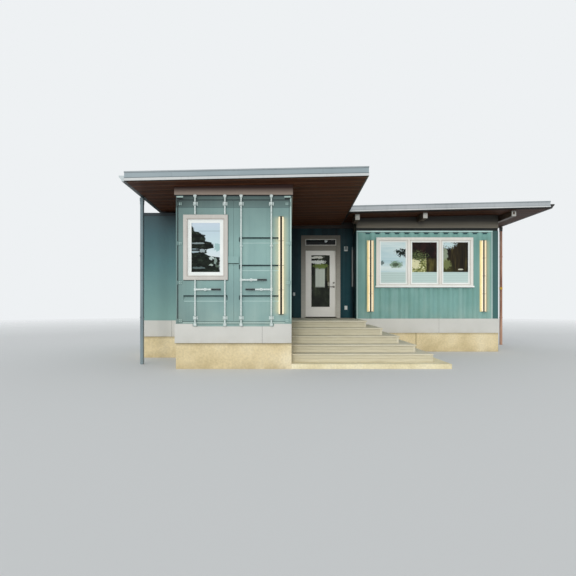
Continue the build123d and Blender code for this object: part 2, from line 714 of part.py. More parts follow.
def wall_lights():
    """One light on the cargo leaf and two on the right module."""
    lights = [wall_light(LIGHT_ON_LEAF_X, LEAF_FACE_Y)]
    for x in LIGHT_ON_WALL_X:
        lights.append(wall_light(seat_on_flat(x, LIGHT_BASE_W / 2), RIGHT_Y[0]))
    return Compound(children=lights)


def right_shell():
    """Walls and edge trim of the right module, with its window opening."""
    height = RIGHT_H
    front = Pos(RIGHT_X[0], RIGHT_Y[0], BASE_Z) * ribbed_wall(RIGHT_L, height, RIB_MARGIN, CORNER_STRIP_W)
    hole_x = inset(RIGHT_WINDOW_X, CASING_W - CASING_LAP)
    hole_z = inset(RIGHT_WINDOW_Z, CASING_W - CASING_LAP)
    front -= block(hole_x, (RIGHT_Y[0] - 1, RIGHT_Y[0] + WALL_T + 1), hole_z)
    inner_y = (RIGHT_Y[0] + WALL_T, RIGHT_Y[1] - WALL_T)
    east = Pos(RIGHT_X[1], inner_y[0], BASE_Z) * Rot(0, 0, 90)
    east = east * ribbed_wall(inner_y[1] - inner_y[0], height)
    back = Pos(RIGHT_X[1], RIGHT_Y[1], BASE_Z) * Rot(0, 0, 180) * ribbed_wall(RIGHT_L, height)
    trim_y = (RIGHT_Y[0] - TRIM_T, RIGHT_Y[0])
    trim_z = (SKIRT_TOP_Z, RIGHT_TOP_Z)
    strip_x = RIGHT_X[1] - CORNER_STRIP_W
    trim = block((RIGHT_X[0], strip_x), trim_y, (RIGHT_TOP_Z - TRIM_W, RIGHT_TOP_Z))
    trim += block((RIGHT_X[0], RIGHT_X[0] + TRIM_W), trim_y, trim_z)
    trim += block((strip_x - TRIM_W, strip_x), trim_y, trim_z)
    return {
        "right_front_wall": front,
        "right_east_wall": east,
        "right_back_wall": back,
        "right_edge_trim": trim,
    }


def door_opening():
    """Clear opening in the entry wall for the door frame."""
    x = (DOOR_X - DOOR_GAP - JAMB_T, DOOR_X + DOOR_W + DOOR_GAP + JAMB_T)
    head = FLOOR_TOP_Z + DOOR_SILL_T + DOOR_H + DOOR_GAP
    top = head + TRANSOM_BAR + TRANSOM_H + TRANSOM_HEAD
    return x, head, top


def entry_casing_outline():
    """Width and height of the casing round the entry door and its transom light."""
    opening_x, head, top = door_opening()
    x = inset(opening_x, JAMB_T / 2 - ENTRY_CASING_W)
    return x, (DECK_TOP_Z, top - TRANSOM_HEAD + ENTRY_CASING_TOP)


def entry_walls():
    """Recessed entry wall in pieces, the porch's side wall and the bay's back wall."""
    opening_x, head, top = door_opening()
    low = BASE_Z
    bay_mid = LEFT_ROOF_X[1]

    def under_roofs(x, z_bottom, y=DOOR_WALL_Y):
        left_part = (x[0], min(x[1], bay_mid))
        wall = sloped_block(left_part, y, z_bottom, left_soffit_z(left_part[0], y[1]),
                            left_soffit_z(left_part[1], y[1]))
        if x[1] > bay_mid:
            rest = (bay_mid, x[1])
            wall += sloped_block(rest, y, z_bottom, right_soffit_z(rest[0]),
                                 right_soffit_z(rest[1]))
        return wall

    back = sloped_block((BAY_X[0], bay_mid), (BACK_Y - WALL_T, BACK_Y), low,
                        left_soffit_z(BAY_X[0], BACK_Y), left_soffit_z(bay_mid, BACK_Y))
    back += sloped_block((bay_mid, BAY_X[1]), (BACK_Y - WALL_T, BACK_Y), low,
                         right_soffit_z(bay_mid), right_soffit_z(BAY_X[1]))
    side = block((RIGHT_X[0], RIGHT_X[0] + WALL_T), (RIGHT_Y[0] + WALL_T, DOOR_WALL_Y[1]),
                 (low, RIGHT_TOP_Z))
    frieze_y = (DOOR_WALL_Y[0] - FRIEZE_T, DOOR_WALL_Y[0])
    casing_x, casing_z = entry_casing_outline()
    frieze = under_roofs(BAY_X, ENTRY_FRIEZE_Z, frieze_y)
    frieze -= block(casing_x, inset(frieze_y, -1), casing_z)
    return {
        "entry_wall_left": under_roofs((BAY_X[0], opening_x[0]), low),
        "entry_wall_right": under_roofs((opening_x[1], BAY_X[1]), low),
        "entry_wall_over": under_roofs(opening_x, top),
        "entry_frieze": frieze,
        "entry_wall_side": side,
        "entry_back_wall": back,
    }


def entry_frame():
    """Door frame with its sill, stops and a transom light over the head."""
    opening_x, head, top = door_opening()
    y = DOOR_WALL_Y
    frame = block(opening_x, y, (FLOOR_TOP_Z, top))
    clear_x = inset(opening_x, JAMB_T)
    leaf_y = (y[1] - DOOR_T - DOOR_GAP, y[1] + 1)
    frame -= block(clear_x, leaf_y, (FLOOR_TOP_Z + DOOR_SILL_T, head))
    stop_x = inset(clear_x, STOP_T)
    frame -= block(stop_x, (y[0] - 1, y[1] + 1), (FLOOR_TOP_Z + DOOR_SILL_T, head - STOP_T))
    transom_z = (head + TRANSOM_BAR, head + TRANSOM_BAR + TRANSOM_H)
    transom_x = inset(opening_x, JAMB_T + STOP_T)
    frame -= block(transom_x, (y[0] - 1, y[1] + 1), transom_z)
    glass_y = (y[0] + 40, y[0] + 40 + GLASS_T)
    transom = block(transom_x, glass_y, transom_z)
    casing_y = (y[0] - CASING_T, y[0])
    casing_x, casing_z = entry_casing_outline()
    casing = block(casing_x, casing_y, casing_z)
    casing -= block(inset(opening_x, JAMB_T / 2), (casing_y[0] - 1, casing_y[1] + 1),
                    (DECK_TOP_Z - 1, transom_z[1] + TRANSOM_HEAD / 2))
    return {"entry_door_frame": frame, "transom_glass": transom, "entry_door_casing": casing}


def hinge_axis():
    """Place of the entry door's hinge pins, just inside the room."""
    return DOOR_X - DOOR_GAP / 2, DOOR_WALL_Y[1] + BUTT_KNUCKLE_R


def butt_knuckles(side, spans):
    """Knuckles of one hinge with their flat blade, to the left or right of the pin."""
    x, y = hinge_axis()
    relief = BUTT_KNUCKLE_R + BUTT_RELIEF
    blade_x = sorted((x + side * relief, x + side * (relief + BUTT_LEAF_W)))
    blade_y = (DOOR_WALL_Y[1], DOOR_WALL_Y[1] + BUTT_LEAF_T)
    piece = block(blade_x, blade_y, (-BUTT_H / 2, BUTT_H / 2))
    for low, high in spans:
        knuckle = Pos(x, y, (low + high) / 2) * Cylinder(BUTT_KNUCKLE_R, high - low)
        web_x = sorted((x, x + side * (relief + BUTT_LEAF_T)))
        piece += knuckle + block(web_x, blade_y, (low, high))
    return piece


def entry_hinges():
    """Frame side of the three butt hinges, with their pins."""
    x, y = hinge_axis()
    third = BUTT_H / 6
    pieces = []
    for height in BUTT_HEIGHTS:
        piece = butt_knuckles(-1, ((-BUTT_H / 2, -third), (third, BUTT_H / 2)))
        piece += Pos(x, y, 0) * Cylinder(BUTT_PIN_R, BUTT_H)
        pieces.append(Pos(0, 0, FLOOR_TOP_Z + height) * piece)
    return Compound(children=pieces)


def entry_door():
    """Swinging leaf with its tall pane, hinge knuckles and lever lock."""
    y_back = DOOR_WALL_Y[1]
    y = (y_back - DOOR_T, y_back)
    x = (DOOR_X, DOOR_X + DOOR_W)
    z = (FLOOR_TOP_Z + DOOR_SILL_T + DOOR_GAP, FLOOR_TOP_Z + DOOR_SILL_T + DOOR_H)
    pane_x = inset(x, DOOR_STILE_W)
    pane_z = (z[0] + DOOR_BOTTOM_RAIL, z[1] - DOOR_TOP_RAIL)
    bead_x = inset(pane_x, -DOOR_BEAD_W)
    bead_z = inset(pane_z, -DOOR_BEAD_W)
    leaf = block(x, y, z) + block(bead_x, inset(y, -DOOR_BEAD_T), bead_z)
    leaf -= block(pane_x, inset(y, -DOOR_BEAD_T - 1), pane_z)
    third = BUTT_H / 6 - BUTT_GAP
    axis_x, axis_y = hinge_axis()
    for height in BUTT_HEIGHTS:
        knuckle = butt_knuckles(1, ((-third, third),))
        knuckle -= Pos(axis_x, axis_y, 0) * Cylinder(BUTT_PIN_R + GUIDE_CLEAR, BUTT_H)
        leaf += Pos(0, 0, FLOOR_TOP_Z + height) * knuckle
    pane = block(pane_x, (y[0] + 10, y[1] - 10), pane_z)
    lock_x = x[1] - LOCK_BACKSET
    pieces = []
    for direction, face in ((-1, y[0]), (1, y[1])):
        rose = Pos(lock_x, face + direction * 5, LEVER_Z) * Rot(90, 0, 0) * Cylinder(ROSE_R, 10)
        neck = Pos(lock_x, face + direction * LEVER_REACH / 2, LEVER_Z) * Rot(90, 0, 0)
        neck = neck * Cylinder(LEVER_R, LEVER_REACH)
        lever = Pos(lock_x - LEVER_LENGTH / 2, face + direction * LEVER_REACH, LEVER_Z)
        lever = lever * Rot(0, 90, 0) * Cylinder(LEVER_R, LEVER_LENGTH + 2 * LEVER_R)
        bolt = Pos(lock_x, face + direction * 9, DEADBOLT_Z) * Rot(90, 0, 0)
        pieces.append(rose + neck + lever)
        pieces.append(bolt * Cylinder(ROSE_R * 0.9, 18))
    return {
        "entry_door_leaf": leaf,
        "entry_door_glass": pane,
        "entry_lockset": Compound(children=pieces),
    }


def plate_on_entry_wall(x, z, size, thickness):
    """Flat plate on the entry wall, standing on a height and centred on a place."""
    face_y = DOOR_WALL_Y[0]
    return block((x - size[0] / 2, x + size[0] / 2), (face_y - thickness, face_y), (z, z + size[2]))


def sconce():
    """Wall plate with a small tapered shade under its top."""
    plate = plate_on_entry_wall(SCONCE_X, SCONCE_Z, SCONCE_SIZE, SCONCE_PLATE_T)
    shade_y = DOOR_WALL_Y[0] - SCONCE_SIZE[1] + SCONCE_SHADE_R[0]
    shade_z = SCONCE_Z + SCONCE_SIZE[2] - SCONCE_SHADE_H / 2
    return plate + Pos(SCONCE_X, shade_y, shade_z) * Cone(*SCONCE_SHADE_R, SCONCE_SHADE_H)


def outlet_cover():
    """Weather cover of an outlet, slanted over its top."""
    front_y = DOOR_WALL_Y[0] - OUTLET_SIZE[1]
    top = OUTLET_Z + OUTLET_SIZE[2]
    outline = [(DOOR_WALL_Y[0], OUTLET_Z), (DOOR_WALL_Y[0], top), (front_y + OUTLET_SLANT, top),
               (front_y, top - OUTLET_SLANT), (front_y, OUTLET_Z)]
    face = make_face(Plane.YZ * Polyline(*outline, close=True))
    return Pos(OUTLET_X - OUTLET_SIZE[0] / 2, 0, 0) * extrude(face, OUTLET_SIZE[0], dir=(1, 0, 0))


def porch_fittings():
    """Sconce, covered outlet, door chime button and a slim upright bead on the entry wall."""
    chime = plate_on_entry_wall(CHIME_X, CHIME_Z, CHIME_SIZE, CHIME_PLATE_T)
    button = Pos(CHIME_X, DOOR_WALL_Y[0] - CHIME_SIZE[1] / 2, CHIME_Z + CHIME_SIZE[2] / 2)
    chime += button * Rot(90, 0, 0) * Cylinder(CHIME_BUTTON_R, CHIME_SIZE[1])
    bead = plate_on_entry_wall(BEAD_X, BEAD_Z, BEAD_SIZE, BEAD_SIZE[1])
    return Compound(children=[sconce(), outlet_cover(), chime, bead])


def step_levels():
    """Front edge, right end and top of each step under the deck, highest first."""
    levels = []
    for index in range(1, STEP_COUNT + 1):
        front = DECK_FRONT_Y - index * STEP_RUN
        right = DECK_X[1] + sum(STEP_SIDE_RUNS[:index])
        top = DECK_TOP_Z - index * STEP_RISE
        if index == STEP_COUNT:
            top = PAD_Z
        levels.append((front, right, top))
    return levels


def porch():
    """Deck, its rim, the closed steps and the two wide lowest platforms."""
    left = BAY_X[0]
    levels = step_levels()
    deck = block(DECK_X, (DECK_FRONT_Y, DOOR_WALL_Y[0]), (DECK_TOP_Z - DECK_T, DECK_TOP_Z))
    deck -= block((RIGHT_X[0], DECK_X[1] + 1), (RIGHT_Y[0], DOOR_WALL_Y[0] + 1),
                  (DECK_TOP_Z - DECK_T - 1, DECK_TOP_Z + 1))
    treads = []
    risers = []
    above_front = DECK_FRONT_Y
    above_bottom = DECK_TOP_Z - DECK_T
    above_right = DECK_X[1]
    for front, right, top in levels[:3]:
        treads.append(block((left, right), (front, above_front + TREAD_NOSE), (top - TREAD_T, top)))
        riser_y = (above_front + TREAD_NOSE, above_front + TREAD_NOSE + RISER_T)
        risers.append(block((left, above_right - TREAD_NOSE), riser_y, (top - TREAD_T, above_bottom)))
        above_front = front
        above_bottom = top - TREAD_T
        above_right = right
    platform_front, platform_right, platform_top = levels[3]
    riser_y = (above_front + TREAD_NOSE, above_front + TREAD_NOSE + RISER_T)
    risers.append(block((left, above_right - TREAD_NOSE), riser_y, (platform_top, above_bottom)))
    platform_back = RIGHT_Y[0] - SKIRT_T - SEAM
    platform = block((left, platform_right), (platform_front, platform_back),
                     (PAD_Z, platform_top))
    pad = block((left, levels[4][1]), (levels[4][0], platform_back), (0, PAD_Z))
    return {
        "porch_deck": deck,
        "step_treads": Compound(children=treads),
        "step_risers": Compound(children=risers),
        "step_platform": platform,
        "step_pad": pad,
        "step_stringers": step_stringers(levels, platform_top),
    }


def step_stringers(levels, platform_top):
    """Closed side of each step and the posts under the deck."""
    left = BAY_X[0]
    pieces = []
    back = DOOR_WALL_Y[0] - SEAM
    rim_z = (platform_top, DECK_TOP_Z - DECK_T)
    post_y = RIGHT_Y[0] - SKIRT_T - SEAM
    span = (left + STRINGER_T, DECK_X[1] - TREAD_NOSE - STRINGER_T)
    step = (span[1] - span[0] - STRINGER_T) / (STRINGER_COUNT - 1)
    outline = [(post_y, rim_z[0]), (post_y, rim_z[1])]
    front = DECK_FRONT_Y + TREAD_NOSE + RISER_T
    outline.append((front, rim_z[1]))
    for level_front, level_right, top in levels[:3]:
        outline.append((front, top - TREAD_T))
        front = level_front + TREAD_NOSE + RISER_T
        outline.append((front, top - TREAD_T))
    outline.append((front, rim_z[0]))
    face = make_face(Plane.YZ * Polyline(*outline, close=True))
    for index in range(STRINGER_COUNT):
        x = span[0] + index * step
        pieces.append(Pos(x, 0, 0) * extrude(face, STRINGER_T, dir=(1, 0, 0)))
    return Compound(children=pieces)


def wing():
    """Flat panelled walls of the wing and its low roof."""
    def wing_top(y):
        return WING_TOP_Z - LEFT_ROOF_BACK_SLOPE * (y - WING_Y[0])

    outline = [(WING_Y[0], BASE_Z), (WING_Y[1], BASE_Z), (WING_Y[1], wing_top(WING_Y[1])),
               (WING_Y[0], wing_top(WING_Y[0]))]
    face = make_face(Plane.YZ * Polyline(*outline, close=True))
    walls = Pos(WING_X[0], 0, 0) * extrude(face, WING_X[1] - WING_X[0], dir=(1, 0, 0))
    walls -= block((WING_X[0] + WING_WALL_T, WING_X[1] + 1),
                   (WING_Y[0] + WING_WALL_T, WING_Y[1] - WING_WALL_T), (0, WING_TOP_Z + 1))
    roof_y = inset(WING_Y, WING_WALL_T)
    roof_outline = [(roof_y[0], wing_top(roof_y[0]) - WING_ROOF_T),
                    (roof_y[1], wing_top(roof_y[1]) - WING_ROOF_T),
                    (roof_y[1], wing_top(roof_y[1])), (roof_y[0], wing_top(roof_y[0]))]
    roof_face = make_face(Plane.YZ * Polyline(*roof_outline, close=True))
    roof_x = (WING_X[0] + WING_WALL_T, WING_X[1])
    roof = Pos(roof_x[0], 0, 0) * extrude(roof_face, roof_x[1] - roof_x[0], dir=(1, 0, 0))
    return {"wing_walls": walls, "wing_roof": roof}


def left_roof():
    """Deck, fascia boards, soffit and rafters of the left roof."""
    x = LEFT_ROOF_X
    y = LEFT_ROOF_Y
    deck_low = FASCIA_H - ROOF_DECK_T
    inner_x = (x[0] + FASCIA_T, x[1] - FASCIA_T)
    inner_y = (y[0] + FASCIA_T, y[1] - FASCIA_T)
    deck = slab_under_left_roof(inner_x, inner_y, deck_low, FASCIA_H)
    fascia = slab_under_left_roof(x, y, 0, FASCIA_H)
    fascia -= slab_under_left_roof(inner_x, inner_y, -1, FASCIA_H + 1)
    fascia += slab_under_left_roof((x[0], x[1]), (y[0] - FASCIA_LIP_T, y[0]), 0, FASCIA_LIP_H)
    soffit = slab_under_left_roof(inner_x, inner_y, 0, SOFFIT_T)
    soffit -= block((LEFT_X[0], LEFT_X[1]), (FRONT_Y, BACK_Y), (BASE_Z, LEFT_ROOF_Z * 2))
    rafters = []
    pitch = (inner_x[1] - inner_x[0] - RAFTER_W) / (RAFTER_COUNT - 1)
    for index in range(RAFTER_COUNT):
        rx = inner_x[0] + index * pitch
        rafter = slab_under_left_roof((rx, rx + RAFTER_W), inner_y, SOFFIT_T, deck_low)
        rafter -= block(LEFT_X, (FRONT_Y, BACK_Y), (BASE_Z, LEFT_TOP_Z))
        rafters.append(rafter)
    return deck, fascia, soffit, rafters


def left_frieze():
    """Board over the cargo doors up to the soffit, with its closers along the sides."""
    t = FRIEZE_T
    outer_x = (LEFT_X[0] - t, LEFT_X[1] + t)
    z = (FRIEZE_Z, LEFT_ROOF_Z + FASCIA_H)
    boards = block(outer_x, (FRONT_Y - t, FRONT_Y), z)
    boards += block((outer_x[0], LEFT_X[0]), (FRONT_Y - t, WING_Y[0] - SEAM), z)
    boards += block((LEFT_X[1], outer_x[1]), (FRONT_Y - t, DOOR_WALL_Y[0] - t - SEAM), z)
    return boards - slab_under_left_roof(inset(outer_x, -t), LEFT_ROOF_Y, 0, 2 * FASCIA_H)


def right_roof():
    """Deck, fascia boards, soffit and outrigger beams of the right roof."""
    x = RIGHT_ROOF_X
    y = RIGHT_ROOF_Y
    deck_low = FASCIA_H - ROOF_DECK_T
    inner_x = (x[0] + FASCIA_T, x[1] - FASCIA_T)
    inner_y = (y[0] + FASCIA_T, y[1] - FASCIA_T)
    deck = slab_under_right_roof(inner_x, inner_y, deck_low, FASCIA_H)
    fascia = slab_under_right_roof(x, y, 0, FASCIA_H)
    fascia -= slab_under_right_roof(inner_x, inner_y, -1, FASCIA_H + 1)
    fascia += slab_under_right_roof(x, (y[0] - FASCIA_LIP_T, y[0]), 0, FASCIA_LIP_H)
    soffit = slab_under_right_roof(inner_x, inner_y, 0, SOFFIT_T)
    beams = []
    for middle in BEAM_X:
        beam_x = (middle - BEAM_W / 2, middle + BEAM_W / 2)
        beam_end = RIGHT_Y[0] if beam_x[0] < RIGHT_X[1] else RIGHT_Y[1]
        beams.append(slab_under_right_roof(beam_x, (y[0] + BEAM_SETBACK, beam_end), -BEAM_H, 0))
    cripple = sloped_block(RIGHT_X, RIGHT_Y, RIGHT_TOP_Z,
                           right_soffit_z(RIGHT_X[0]), right_soffit_z(RIGHT_X[1]))
    cripple -= block(inset(RIGHT_X, CRIPPLE_T), inset(RIGHT_Y, CRIPPLE_T),
                     (RIGHT_TOP_Z - 1, RIGHT_TOP_Z * 2))
    cripple -= block(inset(RIGHT_X, -1), (RIGHT_Y[0] - 1, RIGHT_Y[0] + CRIPPLE_SETBACK),
                     (RIGHT_TOP_Z - 1, CRIPPLE_BOARD_Z))
    return deck, fascia, soffit, beams, cripple


def roofs():
    """Pieces of both roofs, their decks and soffits together."""
    left_deck, left_fascia, left_soffit, rafters = left_roof()
    right_deck, right_fascia, right_soffit, beams, cripple = right_roof()
    return {
        "roof_decks": Compound(children=[left_deck, right_deck]),
        "left_fascia": left_fascia,
        "right_fascia": right_fascia,
        "soffit_boards": Compound(children=[left_soffit, right_soffit]),
        "left_rafters": Compound(children=rafters),
        "right_beams": Compound(children=beams),
        "right_cripple": cripple,
    }


def trough(length):
    """Open gutter along +Y, its wall side at x = 0 and its lip at x = GUTTER_W."""
    floor_x = GUTTER_W * GUTTER_FLOOR_SHARE
    knee = (GUTTER_W * GUTTER_KNEE_SHARE, GUTTER_H * GUTTER_KNEE_RISE)
    lip_z = GUTTER_H * GUTTER_LIP_RISE
    t = GUTTER_WALL
    points = [(0, GUTTER_H), (0, 0), (floor_x, 0), knee, (GUTTER_W, lip_z), (GUTTER_W, GUTTER_H)]
    inner = [(t, GUTTER_H + 1), (t, t), (floor_x - t, t), (knee[0] - t, knee[1] + t / 2),
             (GUTTER_W - t, lip_z + t / 2), (GUTTER_W - t, GUTTER_H + 1)]
    outer_face = make_face(Plane.XZ * Polyline(*points, close=True))
    inner_face = make_face(Plane.XZ * Polyline(*inner, close=True))
    body = extrude(outer_face, length, dir=(0, 1, 0))
    hollow = Pos(0, GUTTER_WALL, 0) * extrude(inner_face, length - 2 * GUTTER_WALL, dir=(0, 1, 0))
    return body - hollow


def gutter_floor_z(soffit_z):
    """Underside of a gutter on the eave whose soffit is at this height."""
    return soffit_z + FASCIA_H - GUTTER_DROP - GUTTER_H - FASCIA_LIP_H


def gutters():
    """Gutter on each outer eave."""
    length = LEFT_ROOF_Y[1] - LEFT_ROOF_Y[0]
    fall = -degrees(atan(LEFT_ROOF_BACK_SLOPE))
    left_z = gutter_floor_z(LEFT_ROOF_Z)
    left = Pos(LEFT_ROOF_X[0], LEFT_ROOF_Y[0], left_z) * Rot(fall, 0, 0) * mirror(trough(length), Plane.YZ)
    right_length = RIGHT_ROOF_Y[1] - RIGHT_ROOF_Y[0]
    right_z = gutter_floor_z(right_soffit_z(RIGHT_ROOF_X[1]))
    right = Pos(RIGHT_ROOF_X[1], RIGHT_ROOF_Y[0], right_z) * trough(right_length)
    return {"left_gutter": left, "right_gutter": right}


def downspouts():
    """Square pipe from each gutter to the ground, the right one with a collar."""
    left_y = FRONT_Y + LEFT_SPOUT_SETBACK
    left_z = gutter_floor_z(left_soffit_z(LEFT_ROOF_X[0], left_y))
    left_x = LEFT_ROOF_X[0] - SPOUT_OFFSET
    left_z -= SPOUT_SEAT + LEFT_ROOF_BACK_SLOPE * SPOUT_W / 2
    right_y = RIGHT_ROOF_Y[1] - RIGHT_SPOUT_INSET
    right_z = gutter_floor_z(right_soffit_z(RIGHT_ROOF_X[1])) - SPOUT_SEAT
    right_x = RIGHT_ROOF_X[1] + SPOUT_OFFSET
    section = RectangleRounded(SPOUT_D, SPOUT_W, SPOUT_R)
    collar = RectangleRounded(SPOUT_D + 2 * COLLAR_T, SPOUT_W + 2 * COLLAR_T, SPOUT_R + COLLAR_T)
    right_pipe = extrude(section, right_z) + Pos(0, 0, COLLAR_Z) * extrude(collar, COLLAR_H)
    return {
        "left_downspout": Pos(left_x, left_y, 0) * extrude(section, left_z),
        "right_downspout": Pos(right_x, right_y, 0) * right_pipe,
    }


def all_parts():
    """Every named piece of the cabin."""
    parts = {}
    parts.update(stem_walls())
    parts["skirt_boards"] = skirt_boards()
    parts["floor_panels"] = floors()
    parts.update(left_shell())
    parts["ceiling_panels"] = ceilings()
    parts.update(cargo_doors())
    parts["locking_bars"] = locking_bars()
    parts["bar_guides"] = bar_guides()
    parts["bar_keepers"] = bar_keepers()
    parts["bar_handles"] = bar_handles()
    parts["cargo_hinges"] = cargo_hinges()
    parts["lock_box"] = lock_box()
    parts.update(windows())
    parts["wall_lights"] = wall_lights()
    parts.update(right_shell())
    parts.update(entry_walls())
    parts.update(entry_frame())
    parts["entry_hinges"] = entry_hinges()
    parts.update(entry_door())
    parts["porch_fittings"] = porch_fittings()
    parts.update(porch())
    parts.update(wing())
    parts.update(roofs())
    parts["left_frieze"] = left_frieze()
    parts.update(gutters())
    parts.update(downspouts())
    return parts


os.makedirs("parts", exist_ok=True)
for name, shape in all_parts().items():
    export_step(shape, f"parts/{name}.step")
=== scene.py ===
import math

import bmesh
import bpy
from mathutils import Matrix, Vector


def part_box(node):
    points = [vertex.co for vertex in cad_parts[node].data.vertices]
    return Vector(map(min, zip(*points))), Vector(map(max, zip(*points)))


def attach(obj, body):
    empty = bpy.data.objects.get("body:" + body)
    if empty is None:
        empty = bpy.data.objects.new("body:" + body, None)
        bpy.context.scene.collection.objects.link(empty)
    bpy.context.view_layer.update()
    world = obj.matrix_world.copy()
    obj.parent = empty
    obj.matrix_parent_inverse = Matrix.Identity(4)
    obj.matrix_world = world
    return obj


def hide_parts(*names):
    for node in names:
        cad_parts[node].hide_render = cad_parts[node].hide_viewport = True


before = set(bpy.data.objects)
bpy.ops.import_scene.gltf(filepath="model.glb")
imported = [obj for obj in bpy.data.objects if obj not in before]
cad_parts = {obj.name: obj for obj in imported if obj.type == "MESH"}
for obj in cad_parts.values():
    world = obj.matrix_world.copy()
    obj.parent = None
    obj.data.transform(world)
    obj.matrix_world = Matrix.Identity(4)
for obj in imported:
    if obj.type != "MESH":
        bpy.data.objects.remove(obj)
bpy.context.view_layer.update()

# Camera: the image plane is 576 pixels wide and the focal length is measured in them.
IMAGE_PX = 576
FOCAL_PX = 465
SENSOR_MM = 36
CAMERA_AT = (1.187, -9.882, 1.360)
SHIFT = (-2 / IMAGE_PX, 16.4 / IMAGE_PX)

# Both roofs: height of the underside at the front left corner, and its rise along X and Y.
ROOFS = {"left": (3.838, (0.0208, -0.033)), "right": (3.849, (0.0231, 0.0))}
FALL_Y = 0.033
FASCIA_T = 0.036
FASCIA_H = 0.195
LIP_T = 0.016
SEAM_PITCH = 0.45
HANGER_PITCH = 0.62
SOFFIT_PITCH = 0.145
BEAMS = (3.051, 4.926, 7.373)
WING_TOP = 3.700

# Cargo-door end: face of the leaves and the locking gear on them.
LEAF_FACE = -0.075
BARS = (-0.806, -0.180, 0.160, 0.795)
BAR_Y = -0.121
GUIDE_HEIGHTS = (1.077, 3.480)
KEEPER_HEIGHTS = (0.924, 3.647)
HINGE_HEIGHTS = (1.018, 1.820, 2.646, 3.477)
HANDLES = ((-0.806, 1.674, 1), (0.160, 1.875, 1), (0.795, 1.674, -1))
HANDLE_L = 0.540

# Linear lights: middle of each, and the face that it is fixed to.
LIGHTS = ((1.001, -0.075), (3.508, 3.545), (6.762, 3.545))
LIGHT_Z = (1.148, 3.208)

# Panes: left and right edge, bottom and top, front and back.
LEAF_PANE = ((-0.893, -0.291), (2.043, 3.080), (-0.063, -0.039))
LITE_SPANS = ((3.813, 4.529), (4.715, 5.431), (5.617, 6.333))
LITE_Z = (1.988, 3.154)
LITE_Y = (3.557, 3.581)
DOOR_PANE = ((1.839, 2.401), (1.283, 2.864))

# Pressed ribs of the long side.
RIB_PITCH = 0.282
FIRST_RECESS_X = 3.435
RECESSES = 13

CABIN = "cabin"
BOX = {name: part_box(name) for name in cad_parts}

# Front, right end and top of the deck and of each step, highest first.
DECK_FRONT = 1.883
LEVELS = ((DECK_FRONT, BOX["porch_deck"][1].x, 0.950), (1.491, 3.461, 0.780),
          (1.099, 3.777, 0.610), (0.707, 4.062, 0.440), (0.315, 4.333, 0.270))
STEP_LEFT = 1.221
STEPS_BACK = 3.521
STEP_RISE = 0.170
PAD_TOP = 0.100
NOSE = 0.022
DECK_T = 0.038
TREAD_T = 0.030
BOARD_GAP = 0.004
RISER_GAP = 0.0024
DECK_PITCH = 0.1425

# Colours of painted shade on the undersides of sheet, and of its lap joints.
UNDER_EAVES = "17100D"
LAP_JOINT = "50575A"

GRAIN = {"X": (0.6, 14, 14), "Y": (14, 0.6, 14), "Z": (14, 14, 0.6)}
FACING_FRONT = (math.radians(90), 0.0, 0.0)


def linear(code):
    """Linear colour of a written one, such as 829F9F."""
    parts = [int(code[start:start + 2], 16) / 255 for start in (0, 2, 4)]
    parts = [((p + 0.055) / 1.055) ** 2.4 if p > 0.04045 else p / 12.92 for p in parts]
    return tuple(parts) + (1.0,)


def wire(tree, *links):
    """Links in a node tree: from a node and its output, to a node and its input."""
    for source, output, target, socket in links:
        tree.links.new(source.outputs[output], target.inputs[socket])


